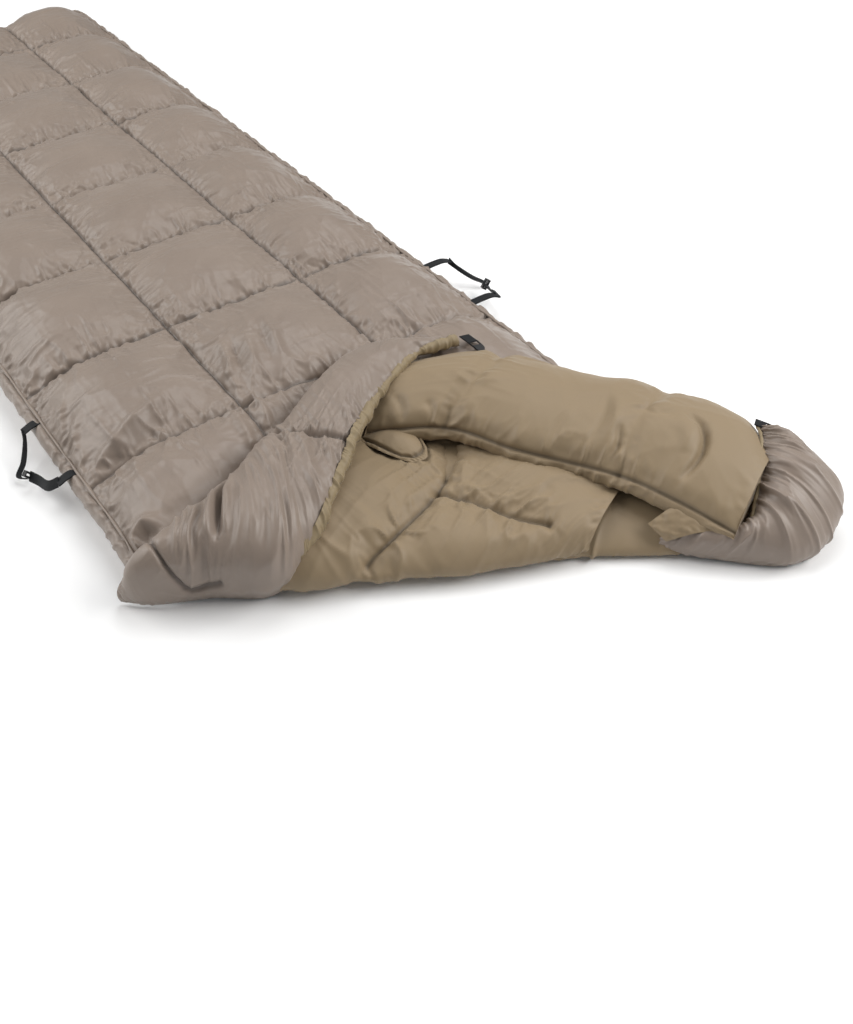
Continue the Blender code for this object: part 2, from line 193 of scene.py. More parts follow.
def pucker(away, along, seed, reach=0.022, pitch=0.010, height=0.0022):
    """Gathers that run out from a seam, deepest beside it and of uneven length."""
    reach = reach * (1 + 0.7 * noise(along / (2.5 * pitch), along * 0, seed + 7))
    lines = ridges(along / (2 * pitch), away / 0.05, seed, 3.4)
    return height * 2.4 * lines * np.exp(-away / reach) * smooth(away, 0, 0.009)


def fold(x, y, points, width, height):
    """One soft fold along a curve, which fades towards both ends."""
    away, share = distance_to(x, y, curve(points, 9))
    fade = np.sin(np.pi * np.clip(share, 0.02, 0.98)) ** 0.7
    return height * fade * np.exp(-((away / width) ** 2))


def folds(x, y, strokes):
    return sum((fold(x, y, *stroke) for stroke in strokes), np.zeros(x.shape))


def crumple(x, y, seed, scale=0.03, height=0.0012, turn=0.0, stretch=4.0):
    """Faint creases all over, longer one way than the other."""
    c, s = math.cos(turn), math.sin(turn)
    a, b = (x * c + y * s) / (scale * stretch), (y * c - x * s) / scale
    return height * ridges(b, a, seed, 3.0)


# ---------------------------------------------------------------- meshes

def add_mesh(name, points, faces, material, plan=None):
    """A smooth-shaded object from points in the plan's coordinates, with a map if it is given one."""
    mesh = bpy.data.meshes.new(name)
    mesh.from_pydata((points - ORIGIN).tolist(), [], faces)
    mesh.shade_smooth()
    if plan is not None:
        layer = mesh.uv_layers.new(name="plan")
        corner = np.empty(len(mesh.loops), np.int32)
        mesh.loops.foreach_get("vertex_index", corner)
        layer.data.foreach_set("uv", np.asarray(plan, np.float32)[corner].ravel())
    mesh.materials.append(MATERIALS[material])
    obj = bpy.data.objects.new(name, mesh)
    bpy.context.scene.collection.objects.link(obj)
    return obj


def grid_faces(columns, rows):
    index = np.arange(columns * rows).reshape(rows, columns)
    quads = [index[:-1, :-1], index[:-1, 1:], index[1:, 1:], index[1:, :-1]]
    return np.stack(quads, -1).reshape(-1, 4)


def trim(points, faces, kept, plan):
    """Drops the faces with a corner that isn't kept, and the points that no face is left to use."""
    faces = faces[kept[faces].all(axis=1)]
    used = np.unique(faces)
    index = np.zeros(len(points), int)
    index[used] = np.arange(len(used))
    return points[used], index[faces], plan[used]


BENDING, FRAMES = 0.06, 22


def inflate(name, x, y, pinned, fullness, pressure, seed):
    """Blender's Cloth blows up a flat sheet that is sewn down at the pinned points and cut larger
    than its frame by fullness. It gives the grid's points once the sheet has settled."""
    start = np.random.default_rng(seed).uniform(0, 0.0015, x.shape)
    start[pinned] = 0
    points = np.stack([x, y, start], -1).reshape(-1, 3)
    mesh = bpy.data.meshes.new(name)
    mesh.from_pydata(points.tolist(), [], grid_faces(x.shape[1], x.shape[0]).tolist())
    obj = bpy.data.objects.new(name, mesh)
    bpy.context.scene.collection.objects.link(obj)
    group = obj.vertex_groups.new(name="sewn")
    group.add(np.flatnonzero(pinned.ravel()).tolist(), 1.0, "REPLACE")
    cloth = obj.modifiers.new("cloth", "CLOTH")
    settings = cloth.settings
    settings.quality = 5
    settings.mass = 0.1
    settings.tension_stiffness = 5
    settings.compression_stiffness = 5
    settings.shear_stiffness = 1.6
    settings.bending_stiffness = BENDING
    settings.effector_weights.gravity = 0
    settings.use_pressure = True
    settings.uniform_pressure_force = pressure
    settings.vertex_group_mass = "sewn"
    settings.shrink_min = -fullness
    cloth.collision_settings.use_collision = False
    cloth.point_cache.frame_start = 1
    cloth.point_cache.frame_end = FRAMES
    scene = bpy.context.scene
    for step in range(1, FRAMES + 1):
        scene.frame_set(step)
    settled = obj.evaluated_get(bpy.context.evaluated_depsgraph_get()).to_mesh()
    result = np.empty(len(points) * 3, np.float32)
    settled.vertices.foreach_get("co", result)
    bpy.data.objects.remove(obj)
    scene.frame_set(1)
    return result.reshape(*x.shape, 3).astype(float)


def calm(grid, gap, reach=0.014, passes=14):
    """Smooths the crown of each cell and keeps the gathers beside its seams."""
    still = grid[..., 2]
    for _ in range(passes):
        inner = still[1:-1, 1:-1] * 0.5 + 0.125 * (
            still[:-2, 1:-1] + still[2:, 1:-1] + still[1:-1, :-2] + still[1:-1, 2:])
        still = still.copy()
        still[1:-1, 1:-1] = inner
    near = np.exp(-((gap / reach) ** 2))
    grid = grid.copy()
    grid[..., 2] = grid[..., 2] * near + still * (1 - near)
    return grid


def refine(grid):
    """The same grid with FINE times as many steps each way, on smooth curves."""
    for axis in (0, 1):
        count = grid.shape[axis]
        fine = np.linspace(0, count - 1, (count - 1) * FINE + 1)
        grid = np.moveaxis(np.tensordot(spline_weights(np.arange(count), fine), grid, (1, axis)), 0, axis)
    return grid


def quilt(name, size, base, seams=(), cuts_x=(), cuts_y=(), step=0.006, fullness=0.05, pressure=5.0,
          scale_up=1.0, relief=None, keep=None, sewn=None, facing=(0, 0, 1), material="shell", seed=1,
          marks=()):
    """A quilted panel: blown up flat, then laid over its base surface, with its wrinkles on top. size is
    its length along u and across v. seams are curves in those units, and cuts are straight. marks are
    lines of stitching that are drawn but don't hold the panel down. Every seam and mark also gets a
    painted shade along its groove, which is kept in a point attribute for the fabric material."""
    long, wide = size
    columns, rows = round(long / step) + 1, round(wide / step) + 1
    x, y = np.meshgrid(np.linspace(0, long, columns), np.linspace(0, wide, rows))
    pinned = np.zeros(x.shape, bool)
    pinned[[0, -1]] = True
    pinned[:, [0, -1]] = True
    for cut in cuts_x:
        pinned[:, np.argmin(abs(x[0] - cut))] = True
    for cut in cuts_y:
        pinned[np.argmin(abs(y[:, 0] - cut))] = True
    for seam in seams:
        pinned |= distance_to(x, y, seam)[0] < 0.62 * step
    if sewn is not None:
        pinned |= sewn(x, y)
    sheet = inflate(name, x, y, pinned, fullness, pressure, seed)
    stitched = [*seams, *([(cut, 0), (cut, wide)] for cut in cuts_x)]
    stitched += [[(0, cut), (long, cut)] for cut in cuts_y]
    rim = [(0, 0), (long, 0), (long, wide), (0, wide), (0, 0)]
    gap = np.minimum.reduce([distance_to(x, y, line)[0] for line in [*stitched, rim]])
    grid = refine(calm(sheet, gap))
    flat = grid.reshape(-1, 3)
    u, v = flat[:, 0] / long, flat[:, 1] / wide
    rise = flat[:, 2] * scale_up
    # Painted shade: a mask that is 1 on every seam and mark and fades out within a few millimetres. The
    # fabric material darkens its colour with it, where the groove would be in shadow.
    stitch_shade = np.zeros(len(flat))
    for line in [*stitched, *marks]:
        away = distance_to(flat[:, 0], flat[:, 1], line)[0]
        rise = rise - STITCH_DEPTH * np.exp(-((away / STITCH_WIDTH) ** 2))
        stitch_shade = np.maximum(stitch_shade, np.exp(-((away / STITCH_SHADE_WIDTH) ** 2)))
    if relief is not None:
        rise = rise + relief(flat[:, 0], flat[:, 1])
    normal, upright = normals_of(base, u, v, facing)
    points = base(u, v) + rise[:, None] * normal
    over = np.maximum(points[:, 2] - CEILING, 0)
    points[:, 2] = np.maximum(points[:, 2], GROUND_GAP) - CROWN_PRESS * over
    faces = grid_faces(grid.shape[1], grid.shape[0])
    faces = faces if upright else faces[:, ::-1]
    plan = np.column_stack([flat[:, :2], stitch_shade])
    if keep is not None:
        points, faces, plan = trim(points, faces, keep(flat[:, 0], flat[:, 1]), plan)
    obj = add_mesh(name, points, faces.tolist(), material, plan[:, :2])
    # The painted seam shade is kept on the mesh as a point attribute.
    layer = obj.data.attributes.new("stitch_shade", "FLOAT", "POINT")
    layer.data.foreach_set("value", np.ascontiguousarray(plan[:, 2], np.float32))
    return obj


def tube(name, points, radius, material, wobble, seed):
    """A cord or piping along a curve, as a mesh tube with closed, narrowed ends."""
    sides = 8
    points = np.array(points, float)
    along = np.gradient(points, axis=0)
    along /= np.linalg.norm(along, axis=1)[:, None]
    across = np.cross(along, [0, 0, 1.0])
    across /= np.maximum(np.linalg.norm(across, axis=1), 1e-6)[:, None]
    up = np.cross(across, along)
    count = len(points)
    size = np.full(count, radius)
    size[[0, -1]] *= 0.35
    size = size * (1 + wobble * noise(np.arange(count) / 2.0, np.zeros(count), seed))
    turns = np.linspace(0, 2 * math.pi, sides, endpoint=False)
    ring = np.cos(turns)[None, :, None] * across[:, None] + np.sin(turns)[None, :, None] * up[:, None]
    body = (points[:, None] + size[:, None, None] * ring).reshape(-1, 3)
    faces = [(i + j, i + sides + j, i + sides + (j + 1) % sides, i + (j + 1) % sides)
             for i in range(0, (count - 1) * sides, sides) for j in range(sides)]
    faces += [list(range(sides)), [(count - 1) * sides + j for j in reversed(range(sides))]]
    return add_mesh(name, body, faces, material)


def ribbon(name, points, sides, widths, thickness, material):
    """Webbing along a path: sides are the directions of its width, one at each point, and widths match."""
    points, sides = np.array(points, float), np.array(sides, float)
    sides /= np.linalg.norm(sides, axis=1)[:, None]
    along = np.gradient(points, axis=0)
    flat = np.cross(along, sides)
    flat /= np.linalg.norm(flat, axis=1)[:, None]
    half = np.asarray(widths, float)[:, None] / 2
    corners = [points + across * (half - 0.07 * thickness) * sides + up * thickness * flat
               for across, up in ((-1, -0.5), (-1, 0.5), (1, 0.5), (1, -0.5))]
    body = np.stack(corners, 1).reshape(-1, 3)
    count = len(points)
    faces = [(4 * i + j, 4 * i + (j + 1) % 4, 4 * i + 4 + (j + 1) % 4, 4 * i + 4 + j)
             for i in range(count - 1) for j in range(4)]
    faces += [(3, 2, 1, 0), tuple(4 * (count - 1) + j for j in range(4))]
    obj = add_mesh(name, body, faces, material)
    shape = bmesh.new()
    shape.from_mesh(obj.data)
    bmesh.ops.recalc_face_normals(shape, faces=shape.faces)
    bmesh.ops.bevel(shape, geom=shape.edges, offset=0.25 * thickness, segments=2, affect="EDGES",
                    clamp_overlap=True)
    shape.to_mesh(obj.data)
    shape.free()
    obj.data.shade_smooth()
    obj.data.set_sharp_from_angle(angle=math.radians(50))
    return obj


def attach(piece, body="bag", replaced=()):
    """Says what a piece moves with, and hides the CAD nodes that it stands for."""
    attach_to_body(piece, body)
    if replaced:
        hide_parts(*replaced)


# ---------------------------------------------------------------- materials

def node(tree, kind, **values):
    made = tree.nodes.new(kind)
    for key, value in values.items():
        setattr(made, key, value)
    return made


def start_material(name):
    """A new material, with its node tree, its link function, its shader and its object coordinates."""
    material = bpy.data.materials.new(name)
    material.use_nodes = True
    tree = material.node_tree
    place = node(tree, "ShaderNodeTexCoord").outputs["Object"]
    return material, tree, tree.links.new, tree.nodes["Principled BSDF"], place


def add_bump(tree, height, strength, distance, normal=None):
    """The normal that a Bump node gives, on top of another normal if there is one."""
    bump = node(tree, "ShaderNodeBump")
    bump.inputs["Strength"].default_value = strength
    bump.inputs["Distance"].default_value = distance
    tree.links.new(height, bump.inputs["Height"])
    if normal is not None:
        tree.links.new(normal, bump.inputs["Normal"])
    return bump.outputs["Normal"]


def spread(tree, factor, low, high):
    """A factor between 0 and 1, stretched to run from low to high."""
    scale = node(tree, "ShaderNodeMapRange")
    scale.inputs["To Min"].default_value = low
    scale.inputs["To Max"].default_value = high
    tree.links.new(factor, scale.inputs["Value"])
    return scale.outputs["Result"]


def fabric(name, colour, shade, roughness, sheen, weave, crease):
    """Woven nylon: fine threads, soft creases between them, a little unevenness of colour, and painted shade
    along the seams: the colour is darkened in each groove, where shadow falls.
    """
    material, tree, link, shader, place = start_material(name)
    shader.inputs["Sheen Weight"].default_value = sheen
    shader.inputs["Sheen Roughness"].default_value = 0.45
    shader.inputs["Specular IOR Level"].default_value = 0.5
    broad = node(tree, "ShaderNodeTexNoise")
    broad.inputs["Scale"].default_value = 14.0
    broad.inputs["Detail"].default_value = 5.0
    link(place, broad.inputs["Vector"])
    mix = node(tree, "ShaderNodeMix", data_type="RGBA")
    mix.inputs["A"].default_value = (*shade, 1)
    mix.inputs["B"].default_value = (*colour, 1)
    link(broad.outputs["Fac"], mix.inputs["Factor"])
    # Painted shade: along the seam grooves the base colour is darkened by up to 72% towards a quarter of the
    # darker tone, in place of the shadow that falls there.
    sewn = node(tree, "ShaderNodeAttribute", attribute_name="stitch_shade")
    deep = node(tree, "ShaderNodeMath", operation="MULTIPLY")
    deep.inputs[1].default_value = 0.72
    link(sewn.outputs["Fac"], deep.inputs[0])
    seam_shade = node(tree, "ShaderNodeMix", data_type="RGBA")
    seam_shade.inputs["B"].default_value = tuple(0.25 * part for part in shade) + (1,)
    link(deep.outputs["Value"], seam_shade.inputs["Factor"])
    link(mix.outputs["Result"], seam_shade.inputs["A"])
    link(seam_shade.outputs["Result"], shader.inputs["Base Color"])
    link(spread(tree, broad.outputs["Fac"], roughness - 0.06, roughness + 0.06), shader.inputs["Roughness"])
    creases = node(tree, "ShaderNodeTexNoise", noise_type="RIDGED_MULTIFRACTAL")
    creases.inputs["Scale"].default_value = 38.0
    creases.inputs["Detail"].default_value = 5.0
    link(place, creases.inputs["Vector"])
    either = node(tree, "ShaderNodeMath", operation="MAXIMUM")
    for k, direction in enumerate("XY"):
        threads = node(tree, "ShaderNodeTexWave", wave_type="BANDS", bands_direction=direction)
        threads.inputs["Scale"].default_value = 420.0
        threads.inputs["Distortion"].default_value = 0.4
        link(place, threads.inputs["Vector"])
        link(threads.outputs["Fac"], either.inputs[k])
    creased = add_bump(tree, creases.outputs["Fac"], 1.0, crease)
    link(add_bump(tree, either.outputs["Value"], 0.25, weave, creased), shader.inputs["Normal"])
    return material


def webbing():
    """Flat woven nylon tape, nearly black, with a coarse weave."""
    material, tree, link, shader, place = start_material("webbing")
    shader.inputs["Sheen Weight"].default_value = 0.04
    shader.inputs["Specular IOR Level"].default_value = 0.25
    ribs = node(tree, "ShaderNodeTexVoronoi")
    ribs.inputs["Scale"].default_value = 900.0
    link(place, ribs.inputs["Vector"])
    mix = node(tree, "ShaderNodeMix", data_type="RGBA")
    mix.inputs["A"].default_value = (0.004, 0.005, 0.006, 1)
    mix.inputs["B"].default_value = (0.010, 0.011, 0.013, 1)
    link(ribs.outputs["Distance"], mix.inputs["Factor"])
    link(mix.outputs["Result"], shader.inputs["Base Color"])
    shader.inputs["Roughness"].default_value = 0.68
    link(add_bump(tree, ribs.outputs["Distance"], 0.6, 0.0003), shader.inputs["Normal"])
    return material


def plastic():
    """Moulded acetal, nearly black, faintly grained."""
    material, tree, link, shader, place = start_material("plastic")
    shader.inputs["Base Color"].default_value = (0.006, 0.0065, 0.008, 1)
    shader.inputs["Specular IOR Level"].default_value = 0.35
    grain = node(tree, "ShaderNodeTexNoise")
    grain.inputs["Scale"].default_value = 1400.0
    link(place, grain.inputs["Vector"])
    link(spread(tree, grain.outputs["Fac"], 0.30, 0.46), shader.inputs["Roughness"])
    link(add_bump(tree, grain.outputs["Fac"], 0.25, 0.0001), shader.inputs["Normal"])
    return material


MATERIALS = {
    "shell": fabric("shell", (0.262, 0.208, 0.169), (0.204, 0.161, 0.131), 0.42, 0.10, 0.00012, 0.0008),
    "lining": fabric("lining", (0.262, 0.193, 0.113), (0.235, 0.172, 0.100), 0.58, 0.12, 0.00012, 0.0004),
    "piping": fabric("piping", (0.275, 0.210, 0.118), (0.215, 0.162, 0.090), 0.58, 0.15, 0.00012, 0.0006),
    "webbing": webbing(),
    "plastic": plastic(),
}
WARM_WHITE = (1.0, 0.985, 0.965)


# ---------------------------------------------------------------- camera, light and floor

def add_camera():
    data = bpy.data.cameras.new("camera")
    data.lens = 36.68
    camera = bpy.data.objects.new("camera", data)
    right = Vector((0.8110, -0.5850, -0.0111)).normalized()
    forward = Vector((0.4074, 0.5782, -0.7069))
    forward = (forward - right * forward.dot(right)).normalized()
    up = right.cross(forward)
    turn = Matrix((right, up, -forward)).transposed().to_4x4()
    camera.matrix_world = Matrix.Translation((-0.5160, -1.4481, 0.8983)) @ turn
    bpy.context.scene.collection.objects.link(camera)
    bpy.context.scene.camera = camera


def add_light(name, place, aim, size, power, colour=(1, 1, 1)):
    data = bpy.data.lights.new(name, "AREA")
    data.shape = "RECTANGLE"
    data.size, data.size_y = size
    data.energy = power
    data.color = colour
    light = bpy.data.objects.new(name, data)
    light.location = place
    light.rotation_euler = (Vector(aim) - Vector(place)).to_track_quat("-Z", "Y").to_euler()
    bpy.context.scene.collection.objects.link(light)


def add_stage():
    world = bpy.data.worlds.new("studio")
    world.use_nodes = True
    world.node_tree.nodes["Background"].inputs["Color"].default_value = (0.97, 0.985, 1.0, 1)
    world.node_tree.nodes["Background"].inputs["Strength"].default_value = 0.26
    bpy.context.scene.world = world
    bpy.context.scene.view_settings.view_transform = "Standard"
    add_light("key", (-2.0, 1.6, 2.2), (0.0, -0.3, 0.0), (3.0, 2.6), 96, WARM_WHITE)
    add_light("front", (2.0, -1.9, 1.9), (0.0, -0.3, 0.0), (2.2, 1.6), 74, WARM_WHITE)
    add_light("top", (1.1, 0.4, 2.6), (0.0, -0.2, 0.0), (1.6, 1.6), 30)
    mesh = bpy.data.meshes.new("floor")
    reach = 14.0
    mesh.from_pydata([(-reach, -reach, 0), (reach, -reach, 0), (reach, reach, 0), (-reach, reach, 0)],
                     [], [(0, 1, 2, 3)])
    floor = bpy.data.objects.new("floor", mesh)
    material = bpy.data.materials.new("floor")
    material.use_nodes = True
    shader = material.node_tree.nodes["Principled BSDF"]
    shader.inputs["Base Color"].default_value = (0.93, 0.935, 0.94, 1)
    shader.inputs["Roughness"].default_value = 0.85
    mesh.materials.append(material)
    bpy.context.scene.collection.objects.link(floor)


# ---------------------------------------------------------------- the top layer

# The crease where the mouth band is thrown back: the head-side edge of the top layer.
CREASE = [(-0.012, -0.160), (0.012, -0.158), (0.068, -0.139), (0.145, -0.103), (0.188, -0.079),
          (0.232, -0.058), (0.280, -0.036), (0.350, -0.005), (0.430, -0.030), (0.465, -0.090),
          (0.520, -0.165), (0.580, -0.215), (0.640, -0.245)]
CREASE_DIP = 0.034


def past_crease(x, y):
    """How far a plan point is on the foot side of the crease; below zero it is under the band."""
    line = curve(CREASE, 60)
    away, _ = distance_to(x, y, line)
    edge = np.interp(x, line[:, 0], line[:, 1])
    return np.where(y > edge, away, -away)


RIGHT_PULL = 0.026


def top_base(u, v):
    x, y = u * WIDTH, v * (LENGTH + HEAD_REACH) - HEAD_REACH
    side = np.minimum(x, WIDTH - x)
    level = SIDE_LEVEL + (SEAM_LEVEL - SIDE_LEVEL) * smooth(side, -0.012, 0.095)
    level = level - (SEAM_LEVEL - SIDE_LEVEL) * (1 - smooth(LENGTH - y, -0.012, 0.095)) * smooth(side, 0, 0.1)
    dip = 1 - smooth(past_crease(x, y), -0.012, CREASE_DIP)
    level = level + (np.minimum(level, 0.052 - 0.012 * smooth(x, 0.42, 0.50)) - level) * dip
    return np.stack([x - RIGHT_PULL * smooth(x, 2 * COLUMN, WIDTH) ** 0.8, y, level], -1)


TOP_FOLDS = [
    # the puff where the near left cell runs into the corner
    ([(-0.004, -0.150), (0.006, -0.118), (0.030, -0.112), (0.042, -0.140)], 0.009, 0.013),
    ([(0.013, -0.150), (0.054, -0.140), (0.105, -0.135)], 0.010, 0.006),
    ([(0.020, -0.070), (0.070, -0.055), (0.130, -0.062)], 0.016, 0.003),
    # long ridges that run up from the side seam in the first whole row
    ([(0.012, 0.018), (0.066, 0.030), (0.136, 0.058)], 0.0085, 0.0070),
    ([(0.024, 0.006), (0.080, 0.012), (0.150, 0.030)], 0.0070, -0.0045),
    ([(0.010, 0.050), (0.024, 0.085), (0.050, 0.108)], 0.0080, 0.0050),
    ([(0.006, 0.080), (0.020, 0.120), (0.040, 0.150)], 0.0070, 0.0040),
    # folds that bend like an S in the middle column
    ([(0.246, 0.125), (0.237, 0.090), (0.226, 0.055), (0.214, 0.022)], 0.0065, 0.0065),
    ([(0.258, 0.118), (0.250, 0.080), (0.240, 0.045)], 0.0050, -0.0050),
    ([(0.276, 0.110), (0.266, 0.070), (0.250, 0.035), (0.232, 0.012)], 0.0070, 0.0055),
    ([(0.318, 0.135), (0.308, 0.090), (0.296, 0.045), (0.284, 0.015)], 0.0080, 0.0050),
    ([(0.300, 0.120), (0.292, 0.080), (0.278, 0.040)], 0.0060, -0.0035),
    # where the seams meet at the head end
    ([(0.196, -0.010), (0.190, -0.040), (0.182, -0.075)], 0.0070, 0.0050),
    ([(0.232, -0.008), (0.226, -0.030), (0.215, -0.050)], 0.0060, 0.0050),
]


def top_relief(x, y):
    y = y - HEAD_REACH
    total = 1.1 * folds(x, y, TOP_FOLDS)
    for k in range(1, COLUMNS):
        total += pucker(np.abs(x - k * COLUMN), y, 11 + k, reach=0.034, pitch=0.0075, height=0.0038)
    for k in range(ROWS):
        total += pucker(np.abs(y - k * ROW), x, 31 + k, reach=0.036, pitch=0.0075, height=0.0036)
    side = np.minimum(x, WIDTH - x)
    total += pucker(side, y, 51, reach=0.036, pitch=0.007, height=0.0034)
    total += crumple(x, y, 61, 0.036, 0.0014, 0.9) + crumple(x, y, 63, 0.055, 0.0026, -0.5, 3.0)
    total += crumple(x, y, 65, 0.017, 0.0004, 1.3, 5.0)
    edge = np.minimum.reduce([side, LENGTH - y, y + HEAD_REACH])
    return total * smooth(edge, 0.0, 0.006)


def make_top():
    length = LENGTH + HEAD_REACH
    top = quilt(
        "top_quilt", (WIDTH, length), top_base,
        cuts_x=[COLUMN, 2 * COLUMN], cuts_y=[HEAD_REACH + k * ROW for k in range(ROWS)],
        fullness=0.040, relief=top_relief,
        keep=lambda x, y: past_crease(x, y - HEAD_REACH) > -0.016,
        sewn=lambda x, y: past_crease(x, y - HEAD_REACH) < 0.003, seed=5,
    )
    fills = [f"top_fill_row{r}_{c}" for r in range(1, ROWS + 1) for c in ("left", "middle", "right")]
    solids = ("top_shell", "top_lining", "head_row_shell", "head_row_fill", *fills)
    attach(top, replaced=solids)


# ---------------------------------------------------------------- the side and foot gussets

GUSSET_BULGE, GUSSET_WIDE = 0.010, 0.072
SEAM_RISE, SEAM_CORD_RADIUS, SEAM_CORD_POINTS = 0.0022, 0.0019, 240


def gusset_profile(outward, level):
    """Points down a gusset, from the corded seam over the bulge to where it turns in on the ground."""
    out = np.array([0.000, 0.60, 0.85, 0.55, -0.30, -1.30, -2.20]) * outward
    down = np.array([1.000, 0.92, 0.72, 0.46, 0.22, 0.06, 0.02]) * level
    return out, down


def make_gusset(name, nodes, route, outward, seed):
    """A gathered strip that hangs from the seam along route, and bulges outward from it."""
    route = np.array(route, float)
    knots = np.linspace(0, 1, 7)
    long = float(np.linalg.norm(np.diff(route, axis=0), axis=1).sum())
    rows = []
    for index, point in enumerate(route):
        out, down = gusset_profile(GUSSET_BULGE, point[2])
        # At a corner of the foot, two strips bulge the same way, so that they meet.
        toward = np.array(outward, float)
        if point[1] > LENGTH - 0.001 and index in (0, len(route) - 1):
            toward = np.array([-1.0 if point[0] < WIDTH / 2 else 1.0, 1.0])
        rows.append([(point[0] + o * toward[0], point[1] + o * toward[1], d) for o, d in zip(out, down)])
    along = np.concatenate([[0], np.cumsum(np.linalg.norm(np.diff(route, axis=0), axis=1))]) / long

    def relief(x, y):
        rough = pucker(y, x + 0.5 * y, seed, reach=0.034, pitch=0.009, height=0.0024)
        rough += pucker(GUSSET_WIDE - y, x, seed + 3, reach=0.02, pitch=0.014, height=0.0014)
        return rough * smooth(np.minimum(x, long - x), 0, 0.01)

    base = surface(along, knots, rows)
    strip = quilt(name, (long, GUSSET_WIDE), base, fullness=0.03, pressure=4, step=0.008, relief=relief,
                  facing=(*outward, 0), seed=seed)
    attach(strip, replaced=nodes)


LEFT_SEAM = [(0.0, LENGTH, SIDE_LEVEL), (0.0, LENGTH - 0.03, SIDE_LEVEL), (0.0, 1.0, SIDE_LEVEL),
             (0.0, 0.5, SIDE_LEVEL), (0.0, 0.0, SIDE_LEVEL), (0.0, -0.100, SIDE_LEVEL),
             (-0.003, -0.140, 0.039)]
RIGHT_EDGE = WIDTH - RIGHT_PULL
RIGHT_SEAM = [(RIGHT_EDGE, -0.190, 0.036), (RIGHT_EDGE, -0.050, SIDE_LEVEL), (RIGHT_EDGE, 0.3, SIDE_LEVEL),
              (RIGHT_EDGE, 0.8, SIDE_LEVEL), (RIGHT_EDGE, LENGTH - 0.03, SIDE_LEVEL),
              (RIGHT_EDGE, LENGTH, SIDE_LEVEL)]
FOOT_SEAM = [(RIGHT_EDGE, LENGTH, SIDE_LEVEL), (RIGHT_EDGE - 0.03, LENGTH, SIDE_LEVEL),
             (WIDTH / 2, LENGTH, SIDE_LEVEL), (0.03, LENGTH, SIDE_LEVEL), (0.0, LENGTH, SIDE_LEVEL)]


def make_gussets():
    make_gusset("left_side_gusset", ["left_gusset", "left_gusset_fill"], LEFT_SEAM, (-1, 0), 71)
    make_gusset("right_side_gusset", ["right_gusset", "right_gusset_fill"], RIGHT_SEAM, (1, 0), 81)
    make_gusset("foot_end_gusset", ["foot_gusset", "foot_gusset_fill"], FOOT_SEAM, (0, 1), 91)
    for name, route, seed in (("left_seam_cord", LEFT_SEAM, 101), ("right_seam_cord", RIGHT_SEAM, 102),
                              ("foot_seam_cord", FOOT_SEAM, 103)):
        points = curve(route, SEAM_CORD_POINTS)
        waves = noise(np.arange(SEAM_CORD_POINTS) / 3.0, np.zeros(SEAM_CORD_POINTS), seed)
        points[:, 2] += SEAM_RISE + 0.0012 * waves
        attach(tube(name, points, SEAM_CORD_RADIUS, "shell", 0.35, seed))


# ---------------------------------------------------------------- the mouth band

BAND_AT = [0.0, 0.13, 0.27, 0.40, 0.50, 0.60, 0.70, 0.84, 0.92, 1.0]
BAND_CREASE = [(-0.012, -0.160, 0.045), (0.012, -0.158, 0.052), (0.068, -0.139, 0.056),
               (0.145, -0.103, 0.056),
               (0.188, -0.079, 0.057), (0.232, -0.058, 0.058), (0.280, -0.036, 0.059), (0.350, -0.005, 0.062),
               (0.398, -0.008, 0.066), (0.440, -0.030, 0.070)]
BAND_OUTER = [(-0.037, -0.150), (-0.006, -0.180), (0.048, -0.212), (0.110, -0.256), (0.163, -0.243),
              (0.222, -0.203), (0.275, -0.158), (0.358, -0.098), (0.430, -0.064), (0.494, -0.070)]
BAND_ACROSS = [0.0, 0.14, 0.35, 0.60, 0.80, 0.92, 1.0]
GROUND_REACH = [0.0, 0.16, 0.42, 0.72, 0.95, 1.01, 0.94]
MOUTH_REACH = [0.0, 0.14, 0.37, 0.64, 0.86, 0.99, 0.965]
BAND_HEIGHTS = [
    (0.044, 0.042, 0.034, 0.022, 0.011, 0.003),
    (0.064, 0.070, 0.060, 0.036, 0.014, 0.003),
    (0.078, 0.085, 0.080, 0.056, 0.024, 0.004),
    (0.083, 0.092, 0.090, 0.072, 0.036, 0.006),
    (0.084, 0.093, 0.093, 0.084, 0.064, 0.044),
    (0.084, 0.093, 0.095, 0.092, 0.084, 0.074),
    (0.084, 0.092, 0.095, 0.094, 0.088, 0.078),
    (0.082, 0.090, 0.093, 0.093, 0.088, 0.080),
    (0.079, 0.086, 0.090, 0.092, 0.088, 0.080),
    (0.076, 0.082, 0.087, 0.090, 0.088, 0.080),
]
ON_GROUND = [1.0, 1.0, 1.0, 0.85, 0.40, 0.05, 0.0, 0.0, 0.0, 0.0]
BAND_LONG, BAND_WIDE = 0.56, 0.175


def band_rows():
    rows = []
    for crease, outer, heights, ground in zip(BAND_CREASE, BAND_OUTER, BAND_HEIGHTS, ON_GROUND):
        row = []
        for low, high, level in zip(GROUND_REACH, MOUTH_REACH, (crease[2], *heights)):
            share = low * ground + high * (1 - ground)
            row.append((crease[0] + share * (outer[0] - crease[0]),
                        crease[1] + share * (outer[1] - crease[1]), level))
        rows.append(row)
    return rows


BAND_BASE = surface(BAND_AT, BAND_ACROSS, band_rows())
BAND_SIZE = (BAND_LONG, BAND_WIDE)
SEAM_TWO = trace(BAND_BASE, BAND_SIZE, [(0.206, -0.080), (0.240, -0.126), (0.280, -0.166)])
SEAM_ONE = trace(BAND_BASE, BAND_SIZE, [(0.013, -0.163), (0.026, -0.200), (0.052, -0.232)])
PLEAT = trace(BAND_BASE, BAND_SIZE, [(0.128, -0.128), (0.105, -0.155), (0.088, -0.178), (0.074, -0.205)])


